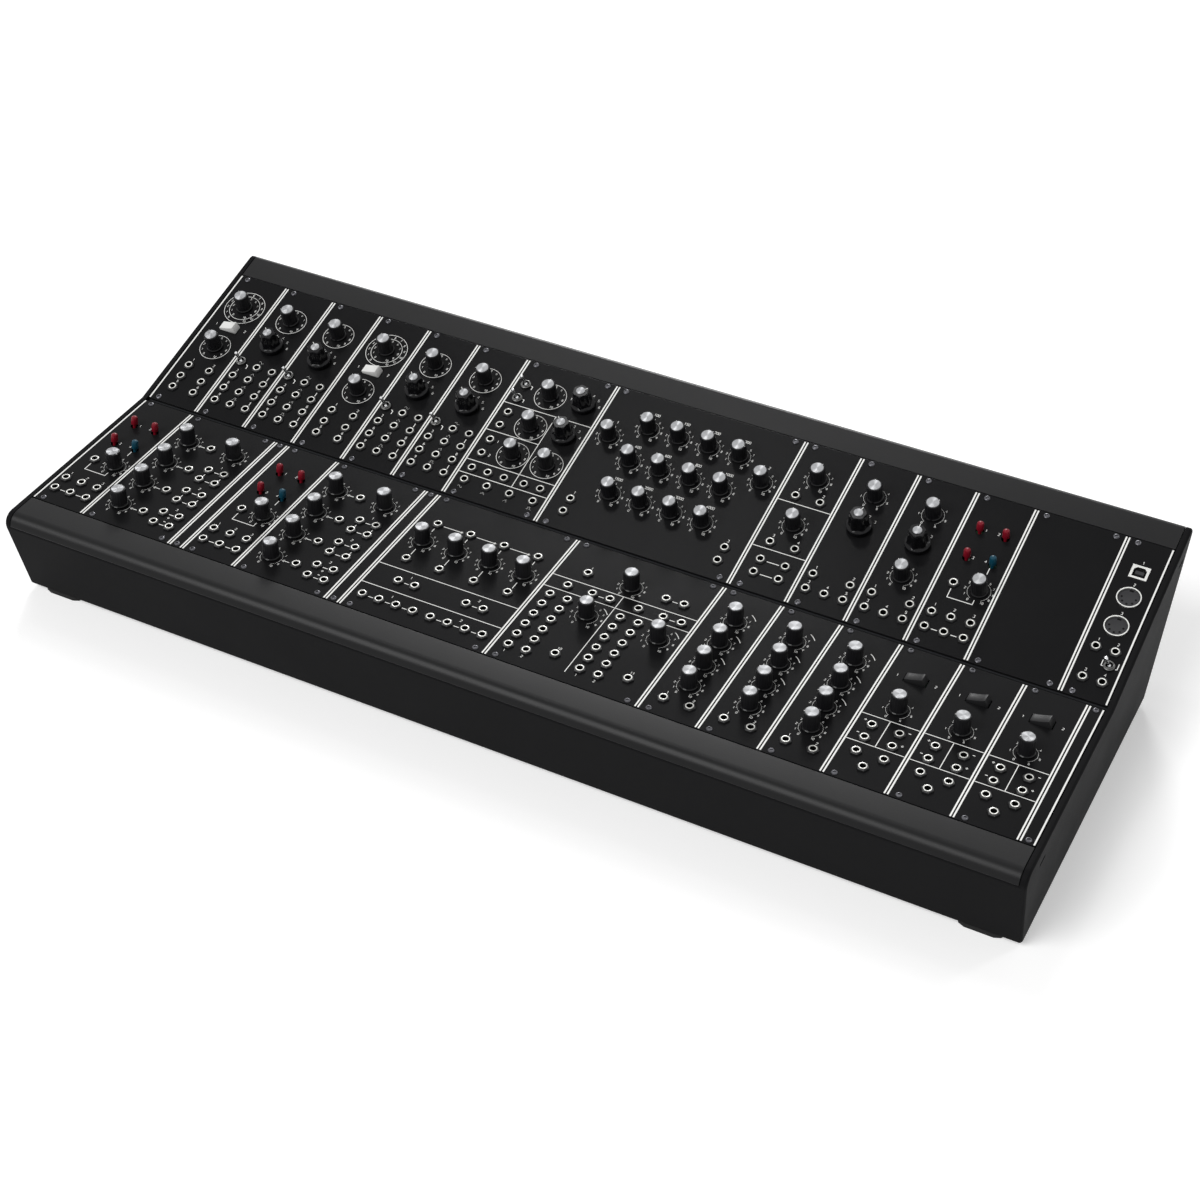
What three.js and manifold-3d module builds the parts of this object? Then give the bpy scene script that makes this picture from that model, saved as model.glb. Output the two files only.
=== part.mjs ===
// Modular synthesizer: two rows of patch modules in a painted sheet metal desktop case.
// Millimetres, +Z up, +X to the right along the rows, +Y to the back. The lower row lies
// level and the upper row tilts up behind it. The origin is under the middle of the case,
// on the surface that its feet stand on.
// Each module is one solid: its panel, the circuit board behind it, the socket nuts and the
// controls that it carries. One control of each kind is a solid of its own, so that it moves.
import * as THREE from "three";
import { mergeVertices } from "three/addons/utils/BufferGeometryUtils.js";
import Module from "manifold-3d";

const wasm = await Module();
wasm.setup();

const degree = Math.PI / 180;

// Module rows
const pitch = 5.08; // one unit of module width
const rowUnits = 140;
const panelHeight = 128.5;
const panelThickness = 2;
const panelGap = 0.3; // between two neighbouring panels
const seatGap = 0.3; // between a piece and what carries it
const rowsGap = 3.7; // between the two rows, at the fold
const upperTilt = 15 * degree;
const overrun = 1; // how far a cut runs past the face that it opens

// Case
const wall = 2;
const cheekThickness = 4.5;
const cheekSoftening = 1.2; // rounding round the edge of each cheek
const cheekSofteningSteps = 1;
const caseDepth = 67.1; // from the lower row's face down to the underside
const frontStripDepth = 17.3; // flat top of the front shell
const noseRadius = 8.5;
const noseSteps = 5;
const frontLean = 12.4 * degree; // of the lower front face, from upright
const rearStripDepth = 27.8; // from the upper row to where the strip meets the rear face
const rearLean = 28 * degree; // of the rear face, from upright
const rearCornerRadius = 4;
const rearCornerSteps = 4;
const shellGap = 0.7; // between a row of panels and the shell beside it
const shellLap = 8; // how far the rear shell reaches down the rear face, past its corner
const slotWidth = 1.6; // fixing slots in the cheeks
const slotLength = 9;
const slotDepth = 1.2;
const slotInset = 12; // of each slot's middle, below the row's face

// Feet
const footHeight = 3.5;
const footLength = 30.5;
const footWidth = 12;
const footInset = 11; // from the case's end
const footEndSteps = 4;
const rearFootInset = 4; // from where the underside ends

// Mounting rails
const railWidth = 8;
const railHeight = 9.5;
const railOverlap = 1; // how far a rail reaches past its panel's edge
const screwInset = 3; // panel screws, from the panel's edge
const railMouth = 3.2; // slot for the threaded strip
const railLip = 1.5;
const railChannel = 5.6;
const railChannelDepth = 3;
const railSideGroove = 1.2;

// Circuit boards, square to the panels behind them
const boardThickness = 1.6;
const boardDepth = 32; // from the panel's back to the board's rear edge
const boardEndInset = 11;
const boardShare = 0.35; // of the panel's width, to the board
const housingDepth = 10; // of a control's housing, behind the panel
const headerLength = 20;
const headerWidth = 9;
const headerHeight = 9;

// Patch sockets
const socketNutRadius = 4.1;
const socketNutHeight = 1.8;
const socketBoreRadius = 1.75;
const socketBoreShare = 0.8; // of the panel's thickness, below its face
const socketSides = 6;
const socketBoreSides = 4;

// Knobs
const knobRadius = 6;
const knobTopRadius = 5.3;
const knobTop = 14; // above the panel
const knobCapRadius = 4.4;
const knobCapHeight = 0.7;
const knobSides = 10;
const fixedKnobSides = 8;
const shaftRadius = 3;
const shaftEnd = 6; // below the panel's face
const bushingRadius = 4.6;
const bushingHeight = 0.7;
const potRadius = 7.5;
const potSides = 4;

// Step selectors
const selectorSkirtRadius = 8.7;
const selectorSkirtHeight = 4.2; // above the panel
const selectorSlopeTop = 5.6; // where the skirt's slope meets the lobed body
const selectorSkirtSides = 12;
const selectorFootRadius = 7.2; // of the lobed body
const selectorShoulderRadius = 6;
const selectorLobes = 6;
const selectorLobeShare = 0.1; // how deep the hollows between the lobes are, of the radius
const selectorBodyTop = 16;
const selectorCapRadius = 3.2;
const selectorTop = 16.7;
const selectorCapSides = 8;

// Mini toggles
const toggleNutRadius = 3.7;
const toggleNutHeight = 2.6;
const toggleBoreRadius = 2.4;
const toggleBallRadius = 1.7;
const toggleRootRadius = 0.9;
const toggleTipRadius = 1.35;
const toggleReach = 8.8; // from the pivot to the tip
const toggleRoot = 1.1; // height of the pivot above the panel
const toggleLean = 18 * degree;
const toggleSides = 8;

// Capped levers
const leverCapRadius = 2.5;
const leverDomeRadius = 1.5;
const leverDomeHeight = 0.9;
const leverCapBottom = 1.8; // above the pivot
const leverReach = 8.2; // from the pivot to the top of the cap
const leverPivotDepth = 0.4; // below the panel's face
const leverStemRadius = 1.2;
const leverBallRadius = 1.6;
const leverBoreRadius = 2.4;
const leverBoreDepth = 2.6;
const leverLean = 12 * degree;
const leverSides = 6;

// Rocker switches
const rockerTopHalf = 6.2;
const rockerFootHalf = 7.1;
const rockerWidth = 6.9;
const rockerRise = 4.1; // of the top face above the pivot
const rockerFootDrop = 1.2; // of the foot edge below the pivot
const rockerKeel = 3.2; // of the keel below the pivot
const rockerKeelHalf = 2.5;
const rockerPivotDepth = 1; // below the panel's face
const rockerTilt = 16 * degree;
const rockerWellDepth = 5;
const rockerHousingWall = 1.2;

// Data and keyboard sockets of the note converter
const usbWidth = 11.7;
const usbHeight = 10.6;
const usbRim = 1.5;
const usbTongueWidth = 5.6;
const usbTongueHeight = 3.2;
const usbDepth = 1.6;
const usbRise = 0.8;
const dinRadius = 8.1;
const dinRim = 1.3;
const dinRise = 1.5;
const dinDepth = 1;
const dinSides = 12;

// Supply board on the floor of the case
const supplyLength = 420;
const supplyWidth = 96;
const supplyStandoff = 4;
const supplyStandoffRadius = 3;
const supplyStandoffInset = 8;
const supplyHeaders = 8;
const supplyHeaderRowGap = 30;
const supplyCapacitorRadius = 8;
const supplyCapacitorHeight = 9;
const supplySides = 6;

// Power entry on the rear face
const entryWidth = 58;
const entryHeight = 24;
const entryFlange = 1.5;
const entryDepth = 14;
const entryLip = 4; // how far the flange reaches past the hole behind it
const entryUp = 30; // of its middle, along the rear face from the underside
const entryFromEnd = 120; // of its middle, from the row's left end
const inletRadius = 6;
const inletRise = 2;
const inletBoreRadius = 3;
const inletBoreDepth = 9;
const inletPinRadius = 1;
const inletSides = 8;
const entryControlShare = 0.24; // of the flange's width, from its middle to each fitting

// Worked out from the sizes above
const rowWidth = rowUnits * pitch;
const cheekInside = rowWidth / 2 + seatGap;
const caseHalf = cheekInside + cheekThickness;
const groundToFace = caseDepth + footHeight;
const upperFront = panelHeight + rowsGap;

// Colours and finishes
const finish = (color, roughness, metalness) =>
  new THREE.MeshStandardMaterial({ color, roughness, metalness });
const casePaint = finish(0x2f2f31, 0.5, 0.3);
const panelBlack = finish(0x232323, 0.45, 0.3);
const railMetal = finish(0xa9abad, 0.4, 0.9);
const boardGreen = finish(0x1f4a2c, 0.6, 0);
const rubberBlack = finish(0x151515, 0.9, 0);
const knobBlack = finish(0x17171a, 0.4, 0);
const toggleChrome = finish(0xd8d8d8, 0.2, 1);
const leverRed = finish(0xa0202c, 0.35, 0);
const leverBlue = finish(0x2a6078, 0.35, 0);
const rockerWhite = finish(0xe6e6e2, 0.4, 0);
const rockerBlack = finish(0x2c2c2e, 0.4, 0);

// Solids and meshes

// A closed three.js geometry as a solid that can be joined and cut.
function solid(geometry) {
  const bare = geometry.index ? geometry.toNonIndexed() : geometry.clone();
  bare.deleteAttribute("normal");
  bare.deleteAttribute("uv");
  const merged = mergeVertices(bare);
  const vertProperties = merged.attributes.position.array;
  const triVerts = new Uint32Array(merged.index.array);
  return new wasm.Manifold(new wasm.Mesh({ numProp: 3, vertProperties, triVerts }));
}

function meshOf(name, body, material) {
  const { vertProperties, triVerts } = body.getMesh();
  const geometry = new THREE.BufferGeometry();
  geometry.setAttribute("position", new THREE.BufferAttribute(vertProperties, 3));
  geometry.setIndex(new THREE.BufferAttribute(triVerts, 1));
  geometry.computeVertexNormals();
  const mesh = new THREE.Mesh(geometry, material);
  mesh.name = name;
  return mesh;
}

const join = (first, ...others) => others.reduce((whole, other) => whole.add(other), first);

// A block between two corners.
function block([x0, y0, z0], [x1, y1, z1]) {
  const box = new THREE.BoxGeometry(x1 - x0, y1 - y0, z1 - z0);
  return solid(box.translate((x0 + x1) / 2, (y0 + y1) / 2, (z0 + z1) / 2));
}

// A profile of [radius, height] points, from the bottom up, turned about Z at a place.
function turned(profile, sides, x = 0, y = 0) {
  const points = profile.map(([radius, height]) => new THREE.Vector2(radius, height));
  const lathe = new THREE.LatheGeometry(points, sides, Math.PI / sides);
  return solid(lathe.rotateX(Math.PI / 2).translate(x, y, 0));
}

// A round bar or bore of constant radius.
function bar(radius, from, to, sides, x = 0, y = 0) {
  return turned([[0, from], [radius, from], [radius, to], [0, to]], sides, x, y);
}

// An outline of [x, y] points carried up along Z, its top drawn in to a share of its foot.
function upright(outline, from, to, topShare = 1) {
  const shape = new THREE.Shape(outline.map(([x, y]) => new THREE.Vector2(x, y)));
  const options = { depth: to - from, bevelEnabled: false, steps: 1 };
  const geometry = new THREE.ExtrudeGeometry(shape, options);
  const place = geometry.attributes.position;
  for (let i = 0; i < place.count; i++) {
    const share = place.getZ(i) > 0 ? topShare : 1;
    place.setXY(i, place.getX(i) * share, place.getY(i) * share);
  }
  return solid(geometry.translate(0, 0, from));
}

// An outline of [y, z] points carried along X, its two ends softened.
function alongX(outline, from, to, softening = 0) {
  const shape = new THREE.Shape(outline.map(([y, z]) => new THREE.Vector2(y, z)));
  const options = {
    depth: to - from - 2 * softening,
    bevelEnabled: softening > 0,
    bevelSize: softening,
    bevelThickness: softening,
    bevelOffset: -softening,
    bevelSegments: cheekSofteningSteps,
    steps: 1,
  };
  const geometry = new THREE.ExtrudeGeometry(shape, options);
  const place = geometry.attributes.position;
  for (let i = 0; i < place.count; i++) {
    const along = place.getZ(i) + from + softening;
    place.setXYZ(i, along, place.getX(i), place.getY(i));
  }
  return solid(geometry);
}

// An outline of [x, z] points carried along Y, centred on zero.
function alongY(outline, width) {
  const shape = new THREE.Shape(outline.map(([x, z]) => new THREE.Vector2(x, z)));
  const options = { depth: width, bevelEnabled: false, steps: 1 };
  const geometry = new THREE.ExtrudeGeometry(shape, options);
  return solid(geometry.translate(0, 0, -width / 2).rotateX(Math.PI / 2));
}

// The radius of a bore whose flats clear a turning bar by the seat gap.
const clearOf = (radius, sides) => (radius + seatGap) / Math.cos(Math.PI / sides);

// Case outline, in [y, z] points from the lower row's front edge, on its face

const turnedBy = ([y, z], angle) => [
  y * Math.cos(angle) - z * Math.sin(angle),
  y * Math.sin(angle) + z * Math.cos(angle),
];

// A point of the upper row: along the panel from its front edge, and out of its face.
function onUpperRow(along, out) {
  const [y, z] = turnedBy([along, out], upperTilt);
  return [upperFront + y, z];
}

// Points of a round corner between two straight runs.
function roundCorner(centre, radius, from, to, steps) {
  const points = [];
  for (let i = 0; i <= steps; i++) {
    const angle = from + ((to - from) * i) / steps;
    points.push([centre[0] + radius * Math.cos(angle), centre[1] + radius * Math.sin(angle)]);
  }
  return points;
}

const noseCentre = [-frontStripDepth, -noseRadius];
const nose = (inset) =>
  roundCorner(noseCentre, noseRadius - inset, 90 * degree, 180 * degree + frontLean, noseSteps);
const noseFoot = nose(0)[noseSteps];

// The lower front face at a height under the lower row's face.
const frontFace = (depth) => noseFoot[0] + (noseFoot[1] + depth) * Math.tan(frontLean);
const bottomFront = [frontFace(caseDepth), -caseDepth];

// The slope of the upper row and the rear face would meet at the peak; a round corner
// touches both there.
const rearPeak = onUpperRow(panelHeight + rearStripDepth, 0);
const rearSpread = Math.tan(rearLean);
const bottomRear = rearPeak[0] - (rearPeak[1] + caseDepth) * rearSpread;
const bottomBack = [bottomRear, -caseDepth];
const rearTurn = 90 * degree + upperTilt + rearLean;
const rearTangent = rearCornerRadius * Math.tan(rearTurn / 2);
const [cornerBack, cornerDown] = turnedBy([-rearTangent, -rearCornerRadius], upperTilt);
const rearCentre = [rearPeak[0] + cornerBack, rearPeak[1] + cornerDown];
const rearCorner = (inset) =>
  roundCorner(
    rearCentre,
    rearCornerRadius - inset,
    90 * degree + upperTilt,
    -rearLean,
    rearCornerSteps,
  );

const fold = [upperFront - rowsGap / 2, 0];
const caseOutline = [
  fold,
  [-frontStripDepth, 0],
  ...nose(0).slice(1),
  bottomFront,
  bottomBack,
  ...rearCorner(0).reverse(),
];
const outlineDepths = caseOutline.map(([y]) => y);
const middle = (Math.min(...outlineDepths) + Math.max(...outlineDepths)) / 2;

// A point of the rear face: up along it from the underside, and out of it.
function onRearFace(up, out) {
  const y = bottomRear + up * Math.sin(rearLean) + out * Math.cos(rearLean);
  return [y, -caseDepth + up * Math.cos(rearLean) - out * Math.sin(rearLean)];
}
const rearFaceLength = Math.hypot(rearPeak[0] - bottomRear, rearPeak[1] + caseDepth);
const rearSeam = rearFaceLength - rearTangent - shellLap;

// Case tub: cheeks, lower front, bottom and rear in one sheet metal shell.
function makeTub() {
  const body = alongX(caseOutline, -caseHalf, caseHalf, cheekSoftening);
  const frontInside = (depth) => frontFace(depth) + wall / Math.cos(frontLean);
  const floor = caseDepth - wall;
  const rearInside = bottomRear + wall * rearSpread - wall / Math.cos(rearLean);
  const past = caseDepth;
  const cavity = [
    [-past, past],
    [-past, -noseRadius],
    [frontInside(noseRadius), -noseRadius],
    [frontInside(floor), -floor],
    [rearInside, -floor],
    onRearFace(rearSeam, -wall),
    onRearFace(rearSeam, past),
    [rearPeak[0] + past, past],
  ];
  let tub = body.subtract(alongX(cavity, -cheekInside, cheekInside));
  tub = tub.subtract(entryHole());
  for (const side of [-1, 1]) {
    for (const [y, z] of [fixingSlot(0), fixingSlot(1)]) {
      const outer = side * (caseHalf + overrun);
      const inner = side * (caseHalf - slotDepth);
      const low = [Math.min(outer, inner), y - slotLength / 2, z - slotWidth / 2];
      const high = [Math.max(outer, inner), y + slotLength / 2, z + slotWidth / 2];
      tub = tub.subtract(block(low, high));
    }
  }
  return meshOf("case_tub", tub, casePaint);
}

// The middle of a fixing slot near the front (0) or the back (1) of a cheek.
function fixingSlot(end) {
  return end ? onUpperRow(panelHeight, -slotInset) : [screwInset, -slotInset];
}

// Front shell: the flat front strip and the rounded nose.
function makeFrontShell() {
  const start = [-shellGap, 0];
  const outer = [start, ...nose(0).slice(0, -1)];
  const inner = nose(wall).slice(0, -1);
  const lowest = -noseRadius + seatGap;
  const outerEnd = [-frontStripDepth - noseRadius, lowest];
  const innerEnd = [-frontStripDepth - noseRadius + wall, lowest];
  const keep = ([, z]) => z > lowest;
  const outline = [
    ...outer.filter(keep),
    outerEnd,
    innerEnd,
    ...inner.filter(keep).reverse(),
    [-shellGap, -wall],
  ];
  const shell = alongX(outline, seatGap - cheekInside, cheekInside - seatGap);
  return meshOf("front_shell", shell, casePaint);
}

// Rear shell: the strip behind the upper row and the rounded corner over the rear face.
function makeRearShell() {
  const from = panelHeight + shellGap;
  const outline = [
    onUpperRow(from, 0),
    onUpperRow(from, -wall),
    ...rearCorner(wall),
    onRearFace(rearSeam + seatGap, -wall),
    onRearFace(rearSeam + seatGap, 0),
    ...rearCorner(0).reverse(),
  ];
  const shell = alongX(outline, seatGap - cheekInside, cheekInside - seatGap);
  return meshOf("rear_shell", shell, casePaint);
}

// A stadium-shaped rubber foot under the case.
function makeFoot(name, x, y) {
  const radius = footWidth / 2;
  const straight = footLength / 2 - radius;
  const right = roundCorner([straight, 0], radius, -90 * degree, 90 * degree, footEndSteps);
  const left = roundCorner([-straight, 0], radius, 90 * degree, 270 * degree, footEndSteps);
  const foot = meshOf(name, upright([...right, ...left], 0, footHeight), rubberBlack);
  foot.position.set(x, y, 0);
  return foot;
}

function makeFeet() {
  const x = caseHalf - footInset - footLength / 2;
  const front = bottomFront[0] + footWidth / 2 - middle;
  const rear = bottomRear - rearFootInset - footWidth / 2 - middle;
  return [
    makeFoot("foot_front_left", -x, front),
    makeFoot("foot_front_right", x, front),
    makeFoot("foot_rear_left", -x, rear),
    makeFoot("foot_rear_right", x, rear),
  ];
}

// A mounting rail under one edge of a row: a bar with a T-slot for the threaded strip.
function makeRail(name, upperEdge) {
  const edge = upperEdge ? panelHeight : 0;
  const inward = upperEdge ? -1 : 1;
  const top = -panelThickness - seatGap;
  const low = top - railHeight;
  const slot = screwInset;
  const near = -railOverlap;
  const far = railWidth - railOverlap;
  const groove = low + railHeight / 2;
  const halfGroove = railSideGroove / 2;
  const outline = [
    [near, low],
    [far, low],
    [far, groove - halfGroove],
    [far - railSideGroove, groove],
    [far, groove + halfGroove],
    [far, top],
    [slot + railMouth / 2, top],
    [slot + railMouth / 2, top - railLip],
    [slot + railChannel / 2, top - railLip],
    [slot + railChannel / 2, top - railLip - railChannelDepth],
    [slot - railChannel / 2, top - railLip - railChannelDepth],
    [slot - railChannel / 2, top - railLip],
    [slot - railMouth / 2, top - railLip],
    [slot - railMouth / 2, top],
    [near, top],
  ].map(([along, out]) => [edge + inward * along, out]);
  if (upperEdge) outline.reverse();
  return meshOf(name, alongX(outline, seatGap / 2, rowWidth - seatGap / 2), railMetal);
}

// Places of the controls on each kind of panel, as shares of its width and height

const controllerShares = {
  redLevers: [[0.305, 0.767], [0.736, 0.767], [0.305, 0.586]],
  blueLevers: [[0.734, 0.586]],
  knobs: [[0.723, 0.412]],
  sockets: [
    [0.297, 0.415], [0.187, 0.211], [0.506, 0.211], [0.827, 0.211],
    [0.187, 0.115], [0.506, 0.115], [0.827, 0.115],
  ],
};

const panelShares = {
  blank: {},
  driver: {
    knobs: [[0.5, 0.778], [0.5, 0.458]],
    rockers: [[0.502, 0.616]],
    sockets: [
      [0.293, 0.283], [0.728, 0.283], [0.293, 0.198], [0.728, 0.198],
      [0.293, 0.113], [0.728, 0.113],
    ],
  },
  oscillator: {
    knobs: [[0.5, 0.778]],
    selectors: [[0.5, 0.57]],
    toggles: [[0.15, 0.414]],
    sockets: [
      [0.507, 0.401], [0.827, 0.401], [0.187, 0.305], [0.507, 0.305], [0.827, 0.305],
      [0.187, 0.209], [0.507, 0.209], [0.827, 0.209], [0.187, 0.114], [0.507, 0.114],
      [0.827, 0.114],
    ],
  },
  wideOscillator: {
    knobs: [[0.426, 0.798], [0.424, 0.566], [0.425, 0.357], [0.793, 0.36]],
    selectors: [[0.787, 0.803], [0.785, 0.57]],
    toggles: [[0.128, 0.826], [0.128, 0.723]],
    sockets: [
      [0.129, 0.615], [0.13, 0.518], [0.129, 0.409], [0.13, 0.31], [0.129, 0.2],
      [0.305, 0.199], [0.484, 0.198], [0.699, 0.199], [0.875, 0.201], [0.129, 0.115],
      [0.377, 0.113], [0.624, 0.113], [0.876, 0.113],
    ],
  },
  filterBank: {
    knobs: [
      [0.26, 0.777], [0.42, 0.777], [0.58, 0.777], [0.74, 0.777], [0.099, 0.657],
      [0.901, 0.657], [0.26, 0.54], [0.42, 0.54], [0.58, 0.54], [0.74, 0.54],
      [0.26, 0.306], [0.42, 0.306], [0.58, 0.306], [0.74, 0.306],
    ],
    sockets: [[0.1, 0.201], [0.1, 0.114], [0.901, 0.201], [0.901, 0.114]],
  },
  coupler: {
    knobs: [[0.5, 0.777], [0.5, 0.458]],
    sockets: [
      [0.287, 0.641], [0.72, 0.641], [0.287, 0.319], [0.72, 0.319], [0.287, 0.2],
      [0.72, 0.2], [0.287, 0.114], [0.72, 0.114],
    ],
  },
  highPass: {
    knobs: [[0.5, 0.777]],
    selectors: [[0.5, 0.568]],
    sockets: [
      [0.186, 0.21], [0.822, 0.21], [0.186, 0.114], [0.505, 0.114], [0.822, 0.114],
    ],
  },
  lowPass: {
    knobs: [[0.5, 0.777], [0.5, 0.359]],
    selectors: [[0.5, 0.57]],
    sockets: [
      [0.187, 0.21], [0.824, 0.21], [0.187, 0.114], [0.506, 0.114], [0.824, 0.114],
    ],
  },
  controlVoltages: controllerShares,
  controller: controllerShares,
  noteConverter: {
    usbSockets: [[0.517, 0.8015]],
    dinSockets: [[0.522, 0.637], [0.522, 0.454]],
    toggles: [[0.715, 0.217]],
    sockets: [[0.305, 0.307], [0.715, 0.307], [0.305, 0.117], [0.715, 0.117]],
  },
  mixer: {
    knobs: [[0.243, 0.774], [0.243, 0.569], [0.243, 0.363], [0.243, 0.157], [0.778, 0.776]],
    sockets: [
      [0.509, 0.776], [0.509, 0.57], [0.509, 0.366], [0.509, 0.16], [0.685, 0.614],
      [0.863, 0.614], [0.685, 0.526], [0.863, 0.526], [0.685, 0.409], [0.863, 0.409],
      [0.685, 0.321], [0.863, 0.321], [0.685, 0.204], [0.863, 0.204], [0.685, 0.114],
      [0.863, 0.114],
    ],
  },
  attenuators: {
    knobs: [[0.151, 0.614], [0.388, 0.614], [0.626, 0.614], [0.863, 0.614]],
    sockets: [
      [0.148, 0.774], [0.384, 0.774], [0.622, 0.774], [0.86, 0.774], [0.147, 0.457],
      [0.382, 0.457], [0.622, 0.457], [0.858, 0.457], [0.215, 0.286], [0.33, 0.286],
      [0.688, 0.286], [0.806, 0.286], [0.087, 0.115], [0.204, 0.115], [0.322, 0.115],
      [0.439, 0.115], [0.561, 0.115], [0.678, 0.115], [0.799, 0.115], [0.916, 0.115],
    ],
  },
  interface: {
    knobs: [[0.5, 0.777], [0.38, 0.481], [0.854, 0.481]],
    sockets: [
      [0.205, 0.776], [0.734, 0.776], [0.854, 0.776], [0.15, 0.643], [0.318, 0.643],
      [0.437, 0.643], [0.628, 0.642], [0.793, 0.642], [0.913, 0.642], [0.377, 0.157],
      [0.853, 0.159],
      ...[0.543, 0.458, 0.372, 0.286, 0.201, 0.115].flatMap((up) =>
        [0.093, 0.211, 0.567, 0.686].map((across) => [across, up]),
      ),
    ],
  },
  envelope: {
    knobs: [[0.5, 0.774], [0.5, 0.591], [0.5, 0.412], [0.5, 0.248]],
    sockets: [[0.278, 0.115], [0.714, 0.115]],
  },
  amplifier: {
    rockers: [[0.498, 0.786]],
    knobs: [[0.502, 0.549]],
    sockets: [
      [0.284, 0.394], [0.72, 0.394], [0.284, 0.3], [0.72, 0.3], [0.284, 0.2],
      [0.72, 0.2], [0.502, 0.114],
    ],
  },
};

// The two rows, from left to right. The first control of a kind that `moving` names is a
// solid of its own.
const upperModules = [
  {
    name: "driver_left",
    kind: "driver",
    units: 8,
    moving: { knobs: "driver_knob", rockers: "driver_rocker" },
  },
  {
    name: "oscillator_1",
    kind: "oscillator",
    units: 8,
    moving: {
      knobs: "oscillator_knob",
      selectors: "oscillator_selector",
      toggles: "oscillator_toggle",
    },
  },
  { name: "oscillator_2", kind: "oscillator", units: 8 },
  { name: "driver_right", kind: "driver", units: 8 },
  { name: "oscillator_3", kind: "oscillator", units: 8 },
  { name: "oscillator_4", kind: "oscillator", units: 8 },
  {
    name: "wide_oscillator",
    kind: "wideOscillator",
    units: 14,
    moving: { selectors: "wide_oscillator_selector" },
  },
  { name: "filter_bank", kind: "filterBank", units: 28, moving: { knobs: "filter_bank_knob" } },
  { name: "filter_coupler", kind: "coupler", units: 8, moving: { knobs: "coupler_knob" } },
  { name: "high_pass_filter", kind: "highPass", units: 8 },
  { name: "low_pass_filter", kind: "lowPass", units: 8, moving: { knobs: "low_pass_knob" } },
  {
    name: "control_voltages",
    kind: "controlVoltages",
    units: 8,
    moving: { redLevers: "control_lever_red", blueLevers: "control_lever_blue" },
  },
  { name: "wide_blank", kind: "blank", units: 12 },
  { name: "note_converter", kind: "noteConverter", units: 6 },
];
const lowerModules = [
  { name: "controller_left", kind: "controller", units: 8 },
  { name: "mixer_left", kind: "mixer", units: 14, moving: { knobs: "mixer_knob" } },
  { name: "blank_left", kind: "blank", units: 2 },
  { name: "controller_right", kind: "controller", units: 8 },
  { name: "mixer_right", kind: "mixer", units: 14 },
  { name: "blank_middle", kind: "blank", units: 2 },
  {
    name: "attenuators",
    kind: "attenuators",
    units: 21,
    moving: { knobs: "attenuator_knob" },
  },
  { name: "interface", kind: "interface", units: 21, moving: { knobs: "interface_knob" } },
  { name: "envelope_1", kind: "envelope", units: 8, moving: { knobs: "envelope_knob" } },
  { name: "envelope_2", kind: "envelope", units: 8 },
  { name: "envelope_3", kind: "envelope", units: 8 },
  {
    name: "amplifier_1",
    kind: "amplifier",
    units: 8,
    rockerColour: "black",
    moving: { rockers: "amplifier_rocker", knobs: "amplifier_knob" },
  },
  { name: "amplifier_2", kind: "amplifier", units: 8 },
  { name: "amplifier_3", kind: "amplifier", units: 8 },
  { name: "blank_right", kind: "blank", units: 2 },
];

// Controls. Each is drawn about its own place on the panel, with the face at zero.

const panelBack = -panelThickness;
const housingBack = panelBack - housingDepth;

// A control's housing behind the panel.
const housing = (radius) => bar(radius, housingBack, panelBack / 2, potSides);
const boxHousing = (halfLength, halfWidth) =>
  block([-halfLength, -halfWidth, housingBack], [halfLength, halfWidth, panelBack / 2]);

const fixedKnob = () =>
  turned(
    [[0, panelBack / 2], [knobRadius, panelBack / 2], [knobTopRadius, knobTop], [0, knobTop]],
    fixedKnobSides,
  );

const knobFoot = bushingHeight + seatGap;
const movingKnob = () =>
  turned(
    [
      [0, -shaftEnd],
      [shaftRadius, -shaftEnd],
      [shaftRadius, knobFoot],
      [knobRadius, knobFoot],
      [knobTopRadius, knobTop - knobCapHeight],
      [knobCapRadius, knobTop - knobCapHeight],
      [knobCapRadius, knobTop],
      [0, knobTop],
    ],
    knobSides,
  );

// A step selector: a lobed body that narrows to its shoulder, on a round skirt that slopes up
// to it, with a flat cap on top.
function selector(foot) {
  const outline = [];
  for (let i = 0; i < 2 * selectorLobes; i++) {
    const angle = (i * Math.PI) / selectorLobes;
    const radius = selectorFootRadius * (i % 2 ? 1 - selectorLobeShare : 1);
    outline.push([radius * Math.cos(angle), radius * Math.sin(angle)]);
  }
  const narrowing = selectorShoulderRadius / selectorFootRadius;
  const bodyFoot = (selectorSkirtHeight + foot) / 2;
  const body = upright(outline, bodyFoot, selectorBodyTop, narrowing);
  const slopeRadius = selectorFootRadius * (1 - selectorLobeShare);
  const skirt = turned(
    [
      [0, foot],
      [selectorSkirtRadius, foot],
      [selectorSkirtRadius, selectorSkirtHeight],
      [slopeRadius, selectorSlopeTop],
      [0, selectorSlopeTop],
    ],
    selectorSkirtSides,
  );
  const capFoot = (selectorBodyTop + foot) / 2;
  const cap = bar(selectorCapRadius, capFoot, selectorTop, selectorCapSides);
  return body.add(skirt).add(cap);
}
const fixedSelector = () => selector(panelBack / 2);
const selectorShaft = () => bar(shaftRadius, -shaftEnd, selectorBodyTop / 2, knobSides);
const movingSelector = () => selector(knobFoot).add(selectorShaft());

// The bushing and bore that a turning shaft sits in.
const bushing = () => bar(bushingRadius, panelBack / 2, bushingHeight, fixedKnobSides);
const shaftBore = () => {
  const end = -shaftEnd - seatGap;
  return bar(clearOf(shaftRadius, knobSides), end, bushingHeight + overrun, knobSides);
};

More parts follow.
